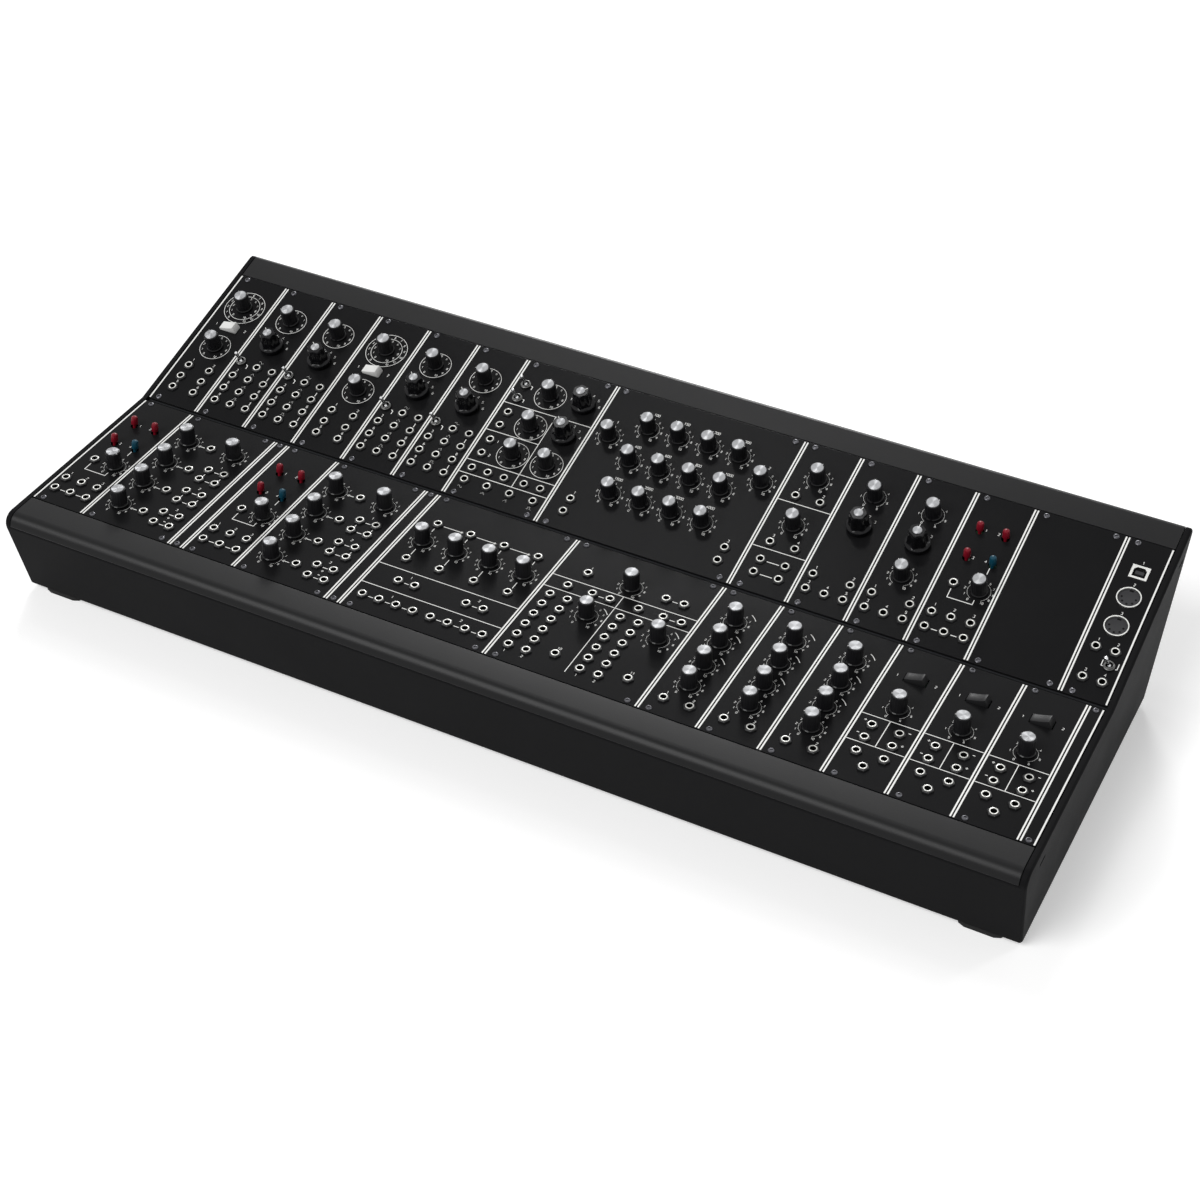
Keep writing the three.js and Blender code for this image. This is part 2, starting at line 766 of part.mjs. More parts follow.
// A lever about its own pivot, upright.
const toggleBat = () =>
  turned(
    [
      [0, -toggleBallRadius],
      [toggleBallRadius, -toggleBallRadius / 2],
      [toggleBallRadius, toggleBallRadius / 2],
      [toggleRootRadius, toggleBallRadius],
      [toggleTipRadius, toggleReach - toggleTipRadius],
      [toggleTipRadius / 2, toggleReach],
      [0, toggleReach],
    ],
    toggleSides,
  );
const fixedBat = () =>
  turned([[0, 0], [toggleRootRadius, 0], [toggleTipRadius, toggleReach], [0, toggleReach]], leverSides);
const toggleNut = () => bar(toggleNutRadius, panelBack / 2, toggleNutHeight, toggleSides);
const toggleBore = () => {
  const end = toggleRoot - toggleBallRadius - seatGap;
  return bar(toggleBoreRadius, end, toggleNutHeight + overrun, toggleSides);
};

const leverBody = () =>
  turned(
    [
      [0, -leverBallRadius],
      [leverStemRadius, -leverBallRadius],
      [leverStemRadius, leverCapBottom],
      [leverCapRadius, leverCapBottom],
      [leverCapRadius, leverReach - leverDomeHeight],
      [leverDomeRadius, leverReach],
      [0, leverReach],
    ],
    leverSides,
  );
const fixedLever = () =>
  turned(
    [
      [0, -leverBallRadius / 2],
      [leverStemRadius, -leverBallRadius / 2],
      [leverCapRadius, leverCapBottom],
      [leverCapRadius, leverReach - leverDomeHeight],
      [leverDomeRadius, leverReach],
      [0, leverReach],
    ],
    leverSides,
  );
const leverBore = () => bar(leverBoreRadius, -leverBoreDepth, overrun, leverSides);

// A rocker about its own pivot, level: its long side runs along X.
function rockerBody() {
  const outline = [
    [-rockerKeelHalf, -rockerKeel],
    [rockerKeelHalf, -rockerKeel],
    [rockerFootHalf, -rockerFootDrop],
    [rockerTopHalf, rockerRise],
    [-rockerTopHalf, rockerRise],
    [-rockerFootHalf, -rockerFootDrop],
  ];
  return alongY(outline, rockerWidth);
}
const rockerReach = Math.hypot(rockerFootHalf, rockerFootDrop) + seatGap;
const rockerWell = () =>
  block(
    [-rockerReach, -rockerWidth / 2 - seatGap, -rockerWellDepth],
    [rockerReach, rockerWidth / 2 + seatGap, overrun],
  );
const rockerHousing = () =>
  boxHousing(rockerReach + rockerHousingWall, rockerWidth / 2 + seatGap + rockerHousingWall);

// Leans a control about its pivot, at a height over the panel.
const leaned = (body, axis, angle, height) => {
  const turn = new THREE.Matrix4().makeRotationAxis(axis, angle);
  return body.transform(turn.elements).translate([0, 0, height]);
};
const across = new THREE.Vector3(1, 0, 0);
const along = new THREE.Vector3(0, 1, 0);
const restingToggle = () => leaned(toggleBat(), along, -toggleLean, toggleRoot);
const restingLever = () => leaned(leverBody(), across, -leverLean, -leverPivotDepth);
const restingRocker = () => leaned(rockerBody(), along, -rockerTilt, -rockerPivotDepth);

// What each kind of control adds to its module and cuts from it, fixed or moving.
const controls = {
  knobs: {
    fixed: () => [fixedKnob()],
    seat: () => [bushing(), housing(potRadius)],
    cut: shaftBore,
    loose: movingKnob,
    material: () => knobBlack,
  },
  selectors: {
    fixed: () => [fixedSelector()],
    seat: () => [bushing(), housing(potRadius)],
    cut: shaftBore,
    loose: movingSelector,
    material: () => knobBlack,
  },
  toggles: {
    fixed: () => [toggleNut(), leaned(fixedBat(), along, -toggleLean, toggleRoot)],
    seat: () => [toggleNut(), housing(toggleNutRadius)],
    cut: toggleBore,
    loose: restingToggle,
    material: () => toggleChrome,
  },
  redLevers: {
    fixed: () => [leaned(fixedLever(), across, -leverLean, -leverPivotDepth)],
    seat: () => [housing(leverCapRadius + leverStemRadius)],
    cut: leverBore,
    loose: restingLever,
    material: () => leverRed,
  },
  blueLevers: {
    fixed: () => [leaned(fixedLever(), across, -leverLean, -leverPivotDepth)],
    seat: () => [housing(leverCapRadius + leverStemRadius)],
    cut: leverBore,
    loose: restingLever,
    material: () => leverBlue,
  },
  rockers: {
    fixed: () => [restingRocker()],
    seat: () => [rockerHousing()],
    cut: rockerWell,
    loose: restingRocker,
    material: (module) => (module.rockerColour === "black" ? rockerBlack : rockerWhite),
  },
};

const socketNut = () => bar(socketNutRadius, panelBack / 2, socketNutHeight, socketSides);
// The bore narrows to its drilled point; past the nut it keeps the same slope.
const socketBore = () => {
  const point = panelBack * socketBoreShare;
  const slope = socketBoreRadius / (socketNutHeight - point);
  const mouth = socketBoreRadius + overrun * slope;
  const top = socketNutHeight + overrun;
  return turned([[0, point], [mouth, top], [0, top]], socketBoreSides);
};

function usbRimBlock() {
  const half = [usbWidth / 2, usbHeight / 2];
  return block([-half[0], -half[1], panelBack / 2], [half[0], half[1], usbRise]);
}
function usbMouth() {
  const half = [usbWidth / 2 - usbRim, usbHeight / 2 - usbRim];
  const tongue = [usbTongueWidth / 2, usbTongueHeight / 2];
  const mouth = block([-half[0], -half[1], usbRise - usbDepth], [half[0], half[1], usbRise + overrun]);
  const low = [-tongue[0], -tongue[1], panelBack];
  return mouth.subtract(block(low, [tongue[0], tongue[1], usbRise]));
}
const dinRing = () => bar(dinRadius, panelBack / 2, dinRise, dinSides);
const dinMouth = () => bar(dinRadius - dinRim, dinRise - dinDepth, dinRise + overrun, dinSides);

// Modules

// One module in its own frame: X from its left edge, Y up the panel, Z out of its face.
function makeModule(module) {
  const width = module.units * pitch;
  const shares = panelShares[module.kind];
  const place = ([x, y]) => [x * width, y * panelHeight, 0];
  let body = block([panelGap / 2, 0, panelBack], [width - panelGap / 2, panelHeight, 0]);
  const loose = [];
  const bores = [];
  for (const [kind, control] of Object.entries(controls)) {
    (shares[kind] ?? []).forEach((spot, index) => {
      const at = place(spot);
      const name = index ? undefined : module.moving?.[kind];
      const added = name ? control.seat() : control.fixed();
      added.forEach((piece) => (body = body.add(piece.translate(at))));
      if (!name) return;
      bores.push(control.cut().translate(at));
      const mesh = meshOf(name, control.loose(), control.material(module));
      mesh.position.set(...at);
      loose.push(mesh);
    });
  }
  for (const spot of shares.usbSockets ?? []) {
    body = body.add(usbRimBlock().translate(place(spot)));
    body = body.add(boxHousing(usbWidth / 2, usbHeight / 2).translate(place(spot)));
    bores.push(usbMouth().translate(place(spot)));
  }
  for (const spot of shares.dinSockets ?? []) {
    body = body.add(dinRing().translate(place(spot)));
    body = body.add(housing(dinRadius).translate(place(spot)));
    bores.push(dinMouth().translate(place(spot)));
  }
  for (const spot of shares.sockets ?? []) {
    body = body.add(socketNut().translate(place(spot)));
    bores.push(socketBore().translate(place(spot)));
  }
  if (module.kind !== "blank") body = body.add(makeBoard(width));
  bores.forEach((bore) => (body = body.subtract(bore)));
  return [meshOf(module.name, body, panelBlack), ...loose];
}

// The circuit board behind a panel, with the bus header on its side.
function makeBoard(width) {
  const side = boardShare * width;
  const rear = panelBack - boardDepth;
  const board = block(
    [side - boardThickness / 2, boardEndInset, rear],
    [side + boardThickness / 2, panelHeight - boardEndInset, panelBack / 2],
  );
  const header = block(
    [side, (panelHeight - headerLength) / 2, rear],
    [side + headerHeight, (panelHeight + headerLength) / 2, rear + headerWidth],
  );
  return board.add(header);
}

function makeRow(modules) {
  const row = new THREE.Group();
  let units = 0;
  for (const module of modules) {
    const place = new THREE.Group();
    place.position.x = units * pitch;
    place.add(...makeModule(module));
    row.add(place);
    units += module.units;
  }
  return row;
}

// Supply board with the bus headers, on standoffs over the case's floor.
function makeSupplyBoard() {
  const half = [supplyLength / 2, supplyWidth / 2];
  const under = supplyStandoff;
  const top = under + boardThickness;
  let board = block([-half[0], -half[1], under], [half[0], half[1], top]);
  for (const x of [-1, 0, 1]) {
    for (const y of [-1, 1]) {
      const at = [half[0] - supplyStandoffInset, half[1] - supplyStandoffInset];
      const post = bar(supplyStandoffRadius, 0, under, supplySides, x * at[0], y * at[1]);
      board = board.add(post);
    }
  }
  const step = supplyLength / (supplyHeaders / 2 + 1);
  for (let i = 0; i < supplyHeaders; i++) {
    const x = ((i >> 1) + 1) * step - half[0];
    const y = (i % 2 ? 1 : -1) * (supplyHeaderRowGap / 2);
    const low = [x - headerLength / 2, y - headerWidth / 2, top];
    board = board.add(block(low, [x + headerLength / 2, y + headerWidth / 2, top + headerHeight]));
  }
  for (const side of [-1, 1]) {
    const x = side * (half[0] - 2 * supplyStandoffInset - supplyCapacitorRadius);
    const height = top + supplyCapacitorHeight;
    board = board.add(bar(supplyCapacitorRadius, under, height, supplySides, x, 0));
  }
  const mesh = meshOf("supply_board", board, boardGreen);
  const y = (bottomFront[0] + bottomRear) / 2 - middle;
  mesh.position.set(0, y, footHeight + wall + seatGap);
  return mesh;
}

// Power entry. Its own frame lies on the rear face: X to the left end, Y up, Z outwards.

const entryX = entryFromEnd - rowWidth / 2;

function entryFrame() {
  const [y, z] = onRearFace(entryUp, 0);
  const frame = new THREE.Matrix4().makeRotationX(Math.PI / 2 - rearLean);
  frame.multiply(new THREE.Matrix4().makeRotationY(Math.PI));
  return frame.premultiply(new THREE.Matrix4().makeTranslation(entryX, y, z));
}

function entryHole() {
  const half = [entryWidth / 2 - entryLip, entryHeight / 2 - entryLip];
  const hole = block([-half[0], -half[1], -wall - overrun], [half[0], half[1], overrun]);
  return hole.transform(entryFrame().elements);
}

function makePowerEntry() {
  const half = [entryWidth / 2, entryHeight / 2];
  const inner = [half[0] - entryLip - seatGap, half[1] - entryLip - seatGap];
  const face = seatGap + entryFlange;
  const fitting = entryControlShare * entryWidth;
  const bore = bar(inletBoreRadius, face + inletRise - inletBoreDepth, face + inletRise + overrun, inletSides);
  const pin = bar(inletPinRadius, face - inletBoreDepth, face + inletRise + overrun, inletSides);
  const body = join(
    block([-half[0], -half[1], seatGap], [half[0], half[1], face]),
    block([-inner[0], -inner[1], -entryDepth], [inner[0], inner[1], face - entryFlange / 2]),
    bar(inletRadius, face - entryFlange / 2, face + inletRise, inletSides).translate([-fitting, 0, 0]),
  )
    .subtract(bore.subtract(pin).translate([-fitting, 0, 0]))
    .subtract(rockerWell().translate([fitting, 0, face]));
  const frame = new THREE.Group();
  frame.add(meshOf("power_entry", body, knobBlack));
  const rocker = meshOf("power_switch", restingRocker(), rockerBlack);
  rocker.position.set(fitting, 0, face);
  frame.add(rocker);
  frame.applyMatrix4(entryFrame());
  return frame;
}

// Assembly

const synthesizer = new THREE.Group();
synthesizer.name = "modular_synthesizer";

const caseFrame = new THREE.Group();
caseFrame.position.set(0, -middle, groundToFace);
caseFrame.add(makeTub(), makeFrontShell(), makeRearShell(), makePowerEntry());

const lowerRow = makeRow(lowerModules);
lowerRow.position.set(-rowWidth / 2, -middle, groundToFace);
lowerRow.add(makeRail("rail_lower_front", false), makeRail("rail_lower_rear", true));

const upperRow = makeRow(upperModules);
upperRow.position.set(-rowWidth / 2, upperFront - middle, groundToFace);
upperRow.rotation.x = upperTilt;
upperRow.add(makeRail("rail_upper_front", false), makeRail("rail_upper_rear", true));

synthesizer.add(caseFrame, lowerRow, upperRow, makeSupplyBoard(), ...makeFeet());

export default synthesizer;
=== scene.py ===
"""The looks of a modular synthesizer with two rows of modules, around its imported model.

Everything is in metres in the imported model's frame: +X to the right along the rows, +Y to
the back, +Z up. A panel has a frame of its own: u from its left edge, v up the panel and w
out of its face. The tables below give the places on the panels as shares of their size or
in millimetres, and MM turns millimetres to metres.
"""

import math
from contextlib import contextmanager

import bmesh
import bpy
from bpy.props import FloatProperty, FloatVectorProperty, IntProperty, PointerProperty
from bpy.types import Operator, Panel, PropertyGroup
from mathutils import Matrix, Vector


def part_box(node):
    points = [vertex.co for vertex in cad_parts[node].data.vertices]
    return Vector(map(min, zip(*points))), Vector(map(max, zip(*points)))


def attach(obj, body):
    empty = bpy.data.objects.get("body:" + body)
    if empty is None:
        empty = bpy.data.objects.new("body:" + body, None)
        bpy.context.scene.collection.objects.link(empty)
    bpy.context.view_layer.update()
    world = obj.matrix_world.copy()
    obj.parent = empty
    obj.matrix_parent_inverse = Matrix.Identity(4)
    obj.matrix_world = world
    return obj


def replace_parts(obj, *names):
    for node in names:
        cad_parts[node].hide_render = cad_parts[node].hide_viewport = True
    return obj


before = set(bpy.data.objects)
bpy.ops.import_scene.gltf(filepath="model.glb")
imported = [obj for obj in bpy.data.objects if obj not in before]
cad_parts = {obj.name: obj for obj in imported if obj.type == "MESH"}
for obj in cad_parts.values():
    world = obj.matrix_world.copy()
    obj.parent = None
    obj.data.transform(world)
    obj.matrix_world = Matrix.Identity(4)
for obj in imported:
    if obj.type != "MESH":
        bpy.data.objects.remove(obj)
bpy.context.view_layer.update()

bl_info = {
    "name": "Modular Synthesizer",
    "version": (1, 0, 0),
    "blender": (4, 5, 0),
    "location": "View3D > Sidebar > Synthesizer",
    "description": "Dresses a desktop modular synthesizer: case, panels, print and controls",
    "category": "Object",
}

MM = 0.001
OUT = Vector((0, 0, 1))


def grid(columns, rows):
    """Places at every crossing of columns and rows, row by row."""
    return [(across, up) for up in rows for across in columns]


# Places of the controls on each kind of panel, as shares of its width and height
KINDS = {
    "blank": {},
    "driver": {
        "knobs": grid([0.5], [0.778, 0.458]),
        "rockers": [(0.502, 0.616)],
        "sockets": grid([0.293, 0.728], [0.283, 0.198, 0.113]),
    },
    "oscillator": {
        "knobs": [(0.5, 0.778)],
        "selectors": [(0.5, 0.57)],
        "toggles": [(0.15, 0.414)],
        "sockets": grid([0.507, 0.827], [0.401]) + grid([0.187, 0.507, 0.827], [0.305, 0.209, 0.114]),
    },
    "wide_oscillator": {
        "knobs": [(0.426, 0.798), (0.424, 0.566), (0.425, 0.357), (0.793, 0.36)],
        "selectors": [(0.787, 0.803), (0.785, 0.57)],
        "toggles": grid([0.128], [0.826, 0.723]),
        "sockets": [
            (0.129, 0.615), (0.13, 0.518), (0.129, 0.409), (0.13, 0.31), (0.129, 0.2),
            (0.305, 0.199), (0.484, 0.198), (0.699, 0.199), (0.875, 0.201), (0.129, 0.115),
            (0.377, 0.113), (0.624, 0.113), (0.876, 0.113),
        ],
    },
    "filter_bank": {
        "knobs": [
            *grid([0.26, 0.42, 0.58, 0.74], [0.777]), *grid([0.099, 0.901], [0.657]),
            *grid([0.26, 0.42, 0.58, 0.74], [0.54, 0.306]),
        ],
        "sockets": [(0.1, 0.201), (0.1, 0.114), (0.901, 0.201), (0.901, 0.114)],
    },
    "coupler": {
        "knobs": grid([0.5], [0.777, 0.458]),
        "sockets": grid([0.287, 0.72], [0.641, 0.319, 0.2, 0.114]),
    },
    "high_pass": {
        "knobs": [(0.5, 0.777)],
        "selectors": [(0.5, 0.568)],
        "sockets": grid([0.186, 0.822], [0.21]) + grid([0.186, 0.505, 0.822], [0.114]),
    },
    "low_pass": {
        "knobs": grid([0.5], [0.777, 0.359]),
        "selectors": [(0.5, 0.57)],
        "sockets": grid([0.187, 0.824], [0.21]) + grid([0.187, 0.506, 0.824], [0.114]),
    },
    "controller": {
        "levers": [(0.305, 0.767), (0.736, 0.767), (0.305, 0.586), (0.734, 0.586)],
        "knobs": [(0.723, 0.412)],
        "sockets": [(0.297, 0.415), *grid([0.187, 0.506, 0.827], [0.211, 0.115])],
    },
    "note_converter": {
        "usb_sockets": [(0.517, 0.8015)],
        "din_sockets": grid([0.522], [0.637, 0.454]),
        "toggles": [(0.715, 0.217)],
        "sockets": grid([0.305, 0.715], [0.307, 0.117]),
    },
    "mixer": {
        "knobs": grid([0.243], [0.774, 0.569, 0.363, 0.157]) + [(0.778, 0.776)],
        "sockets": [
            *grid([0.509], [0.776, 0.57, 0.366, 0.16]),
            *grid([0.685, 0.863], [0.614, 0.526, 0.409, 0.321, 0.204, 0.114]),
        ],
    },
    "attenuators": {
        "knobs": grid([0.151, 0.388, 0.626, 0.863], [0.614]),
        "sockets": [
            *grid([0.148, 0.384, 0.622, 0.86], [0.774]), *grid([0.147, 0.382, 0.622, 0.858], [0.457]),
            *grid([0.215, 0.33, 0.688, 0.806], [0.286]),
            *grid([0.087, 0.204, 0.322, 0.439, 0.561, 0.678, 0.799, 0.916], [0.115]),
        ],
    },
    "interface": {
        "knobs": [(0.5, 0.777), (0.38, 0.481), (0.854, 0.481)],
        "sockets": [
            (0.205, 0.776), (0.734, 0.776), (0.854, 0.776), (0.15, 0.643), (0.318, 0.643),
            (0.437, 0.643), (0.628, 0.642), (0.793, 0.642), (0.913, 0.642), (0.377, 0.157),
            (0.853, 0.159),
            *grid([0.093, 0.211, 0.567, 0.686], [0.543, 0.458, 0.372, 0.286, 0.201, 0.115]),
        ],
    },
    "envelope": {
        "knobs": grid([0.5], [0.774, 0.591, 0.412, 0.248]),
        "sockets": grid([0.278, 0.714], [0.115]),
    },
    "amplifier": {
        "rockers": [(0.498, 0.786)],
        "knobs": [(0.502, 0.549)],
        "sockets": grid([0.284, 0.72], [0.394, 0.3, 0.2]) + [(0.502, 0.114)],
    },
}

# The two rows from left to right: module, kind, width in units
ROWS = {
    "upper": [
        ("driver_left", "driver", 8), ("oscillator_1", "oscillator", 8),
        ("oscillator_2", "oscillator", 8), ("driver_right", "driver", 8),
        ("oscillator_3", "oscillator", 8), ("oscillator_4", "oscillator", 8),
        ("wide_oscillator", "wide_oscillator", 14), ("filter_bank", "filter_bank", 28),
        ("filter_coupler", "coupler", 8), ("high_pass_filter", "high_pass", 8),
        ("low_pass_filter", "low_pass", 8), ("control_voltages", "controller", 8),
        ("wide_blank", "blank", 12), ("note_converter", "note_converter", 6),
    ],
    "lower": [
        ("controller_left", "controller", 8), ("mixer_left", "mixer", 14),
        ("blank_left", "blank", 2), ("controller_right", "controller", 8),
        ("mixer_right", "mixer", 14), ("blank_middle", "blank", 2),
        ("attenuators", "attenuators", 21), ("interface", "interface", 21),
        ("envelope_1", "envelope", 8), ("envelope_2", "envelope", 8),
        ("envelope_3", "envelope", 8), ("amplifier_1", "amplifier", 8),
        ("amplifier_2", "amplifier", 8), ("amplifier_3", "amplifier", 8),
        ("blank_right", "blank", 2),
    ],
}
ROW_UNITS = 140

# The first control of its kind on these modules turns or tips on a body of its own.
MOVERS = {
    ("driver_left", "knobs", 0): "driver_knob",
    ("driver_left", "rockers", 0): "driver_rocker",
    ("oscillator_1", "knobs", 0): "oscillator_knob",
    ("oscillator_1", "selectors", 0): "oscillator_selector",
    ("oscillator_1", "toggles", 0): "oscillator_toggle",
    ("wide_oscillator", "selectors", 0): "wide_oscillator_selector",
    ("filter_bank", "knobs", 0): "filter_bank_knob",
    ("filter_coupler", "knobs", 0): "coupler_knob",
    ("low_pass_filter", "knobs", 0): "low_pass_knob",
    ("control_voltages", "levers", 0): "control_lever_red",
    ("control_voltages", "levers", 3): "control_lever_blue",
    ("mixer_left", "knobs", 0): "mixer_knob",
    ("attenuators", "knobs", 0): "attenuator_knob",
    ("interface", "knobs", 0): "interface_knob",
    ("envelope_1", "knobs", 0): "envelope_knob",
    ("amplifier_1", "rockers", 0): "amplifier_rocker",
    ("amplifier_1", "knobs", 0): "amplifier_knob",
}

# Where the controls point at rest, where that isn't straight up the panel
POINTERS = {
    ("driver_left", "knobs"): {0: 135, 1: 135},
    ("driver_right", "knobs"): {0: 135, 1: 135},
    **{(f"oscillator_{i}", "knobs"): {0: 195} for i in (1, 2, 3, 4)},
    **{(f"oscillator_{i}", "selectors"): {0: 135} for i in (1, 2, 3, 4)},
    ("wide_oscillator", "knobs"): {1: 60, 2: 55, 3: 45},
    ("wide_oscillator", "selectors"): {0: 45, 1: 135},
    ("filter_bank", "knobs"): {
        0: 180, 1: 120, 2: 60, 3: 0, 4: 45, 5: 75, 6: 210, 7: 120, 8: 30, 10: 30, 12: 60, 13: 150,
    },
    ("filter_coupler", "knobs"): {0: 60, 1: 105},
    ("high_pass_filter", "knobs"): {0: 105},
    ("high_pass_filter", "selectors"): {0: 75},
    ("low_pass_filter", "knobs"): {0: 45, 1: 135},
    ("control_voltages", "knobs"): {0: 120},
    ("controller_left", "knobs"): {0: 345},
    ("controller_right", "knobs"): {0: 150},
    ("envelope_1", "knobs"): {0: 210, 2: 135, 3: 150},
    ("envelope_2", "knobs"): {0: 210, 2: 150, 3: 150},
    ("envelope_3", "knobs"): {0: 210, 2: 195, 3: 195},
    **{(f"amplifier_{i}", "knobs"): {0: 195} for i in (1, 2, 3)},
}

# Print on each kind of panel, in millimetres from its lower left corner. A dial names the
# style round each knob, a link joins two sockets, and a numbered socket has its number
# above it.
SCALE_END = -60  # degrees of a knob's highest number, from u towards v
SCALE_SWEEP = 300
PRINT = {
    "driver": {
        "dials": ["double", "ring"],
        "numbered": [0, 1, 4, 5],
        "numbers": [("1", 8.6, 79.6), ("2", 33.2, 79.6)],
    },
    "oscillator": {
        "dials": ["ring"],
        "links": [(1, 4), (7, 10)],
        "numbered": [2, 5, 7, 8],
        "waves": [
            ("sine", 20.6, 57.6), ("triangle", 20.6, 45.3),
            ("saw", 20.6, 33.0), ("pulse", 20.6, 20.8),
        ],
        "lines": [[(11.0, 52.3), (12.6, 51.4), (12.6, 48.6)]],
        "steps": [[165, 135, 105, 75, 45, 15]],
    },
    "wide_oscillator": {
        "dials": ["ring", "ring", "ring", "ring"],
        "lines": [
            [(1.7, 87.4), (69.4, 87.4)], [(1.7, 60.8), (42.5, 60.8)],
            [(1.7, 32.5), (69.4, 32.5)], [(1.7, 20.7), (69.4, 20.7)],
            [(42.5, 87.4), (42.5, 20.7)],
            [(12.6, 106.8), (14.3, 106.4), (14.3, 103.5)],
            [(12.6, 93.9), (14.2, 93.5), (14.2, 91.0)],
        ],
        "waves": [
            ("sine", 8.8, 8.7), ("triangle", 26.4, 8.7), ("saw", 43.8, 8.7), ("pulse", 62.2, 8.7),
        ],
        "steps": [[165, 135, 105, 75, 45, 15], [105, 75, 45, 15]],
        "numbers": [("1", 14.9, 53.0), ("2", 14.9, 40.2)],
    },
    "filter_bank": {
        "dials": ["scale"] * 14,
        "knob_numbers": [
            "100", "150", "200", "300", "1", "2", "400", "600", "800", "1000", "1500", "2000",
            "3000", "4000",
        ],
        "numbered": [0, 2],
    },
    "coupler": {
        "dials": ["scale", "scale"],
        "links": [(4, 5), (6, 7)],
        "numbered": [0, 1, 2, 3],
        "lines": [[(1.7, 76.5), (38.9, 76.5)], [(1.7, 35.5), (38.9, 35.5)]],
    },
    "high_pass": {
        "dials": ["seven"],
        "numbered": [0, 1, 2, 3, 4],
        "steps": [[105, 75, 45]],
    },
    "low_pass": {
        "dials": ["seven", "scale"],
        "numbered": [0, 1, 2, 3, 4],
        "steps": [[120, 90, 60]],
    },
    "controller": {
        "dials": ["scale"],
        "links": [(4, 5), (5, 6)],
        "lines": [
            [(29.1, 72.6), (29.1, 67.4)],
            [(12.1, 48.8), (12.1, 41.7), (29.1, 41.7), (29.1, 45.5)],
        ],
        "numbers": [
            ("1", 16.3, 100.3), ("2", 24.9, 100.3), ("3", 16.3, 76.8), ("4", 24.9, 76.8),
            ("1", 7.6, 33.7), ("2", 20.6, 33.7), ("3", 33.6, 33.7),
        ],
    },
    "note_converter": {
        "numbered": [0, 1, 2, 3],
        "lines": [
            [(18.0, 27.3), (16.8, 27.6), (16.8, 32.0)],
            [(25.9, 27.3), (27.0, 27.6), (27.0, 32.0)],
        ],
        "numbers": [("1", 15.7, 111.4), ("2", 15.9, 93.0), ("3", 15.9, 69.2)],
    },
    "mixer": {
        "dials": ["scale"] * 5,
        "links": [
            (4, 5), (4, 6), (5, 7), (6, 7), (8, 9), (8, 10), (9, 11), (10, 11), (12, 13), (14, 15),
        ],
        "arrows": [((31.0, v), (26.0, v)) for v in (99.5, 73.1, 46.6, 20.2)],
        "numbers": [("1", 55.0, 85.4), ("2", 55.0, 59.1), ("3", 55.0, 32.8)],
        "signs": [("plus", 55.0, 22.8), ("minus", 55.0, 18.4)],
    },
    "attenuators": {
        "dials": ["scale"] * 4,
        "links": [(8, 9), (10, 11), *[(i, i + 1) for i in (12, 13, 14, 16, 17, 18)]],
        "arrows": [((u, 99.5), (u + 14.6, 99.5)) for u in (20.2, 45.4, 70.8)],
        "lines": [
            [(1.7, 48.1), (105.0, 48.1)], [(1.7, 26.5), (105.0, 26.5)],
            *[[(u, top), (u, foot)] for u in (15.8, 41.2, 66.6, 91.9)
              for top, foot in ((94.8, 91.2), (70.6, 64.3))],
        ],
        "numbers": [("1", 29.0, 43.4), ("2", 79.6, 43.4), ("1", 27.9, 21.3), ("2", 78.8, 21.3)],
    },
    "interface": {
        "dials": ["scale", "wide", "wide"],
        "links": [(1, 2), (4, 5), (7, 8)],
        "lines": [
            [(1.7, 89.7), (105.0, 89.7)], [(1.7, 77.2), (105.0, 77.2)], [(53.0, 89.7), (53.0, 8.6)],
        ],
        "numbered": [0, 9, 10],
        "numbers": [("1", 9.9, 9.2), ("2", 22.5, 9.2), ("1", 60.5, 9.2), ("2", 73.2, 9.2)],
    },
    "envelope": {
        "dials": ["timed", "timed", "timed", "scale"],
        "numbered": [0, 1],
    },
    "amplifier": {
        "dials": ["seven"],
        "lines": [
            [(1.7, 59.2), (38.9, 59.2)], [(1.7, 34.2), (38.9, 34.2)], [(20.2, 59.2), (20.2, 34.2)],
        ],
        "numbers": [("1", 8.2, 100.6), ("2", 33.4, 100.6)],
        "signs": [
            ("plus", 6.1, 54.2), ("minus", 6.1, 42.0), ("minus", 34.6, 54.2), ("plus", 34.6, 42.0),
        ],
    },
}

# Print round the controls, in millimetres: radii on the dials and distances from a control
RING, RING_NUMBERS = 11.4, 9.5
OUTER_RING, OUTER_NUMBERS = 15.2, 13.3
RING_SPOKES = (11.6, 15.0)
RING_SPOKE_ANGLES = (SCALE_END, -37, 90)  # degrees
TICKS = (7.5, 8.2)
TICK_NUMBERS, WIDE_NUMBERS = 9.4, 10.6
TIME_ARC = (13.2, 32, 28)  # radius, start and sweep in degrees
STEP_NUMBERS = 11.3
KNOB_NUMBER_RISE, SOCKET_NUMBER_RISE = 13.8, 6.2
LINK_END = 4.5  # from a socket's middle
LINK_LEAST_SHARE, SHORT_LINK_SHARE = 2.5, 0.48  # of a link's end
ARROW_HALF, ARROW_LENGTH = 0.9, 1.3
SIGN_HALF = 0.8
WAVE_WIDTH, WAVE_HEIGHT = 3.0, 1.9

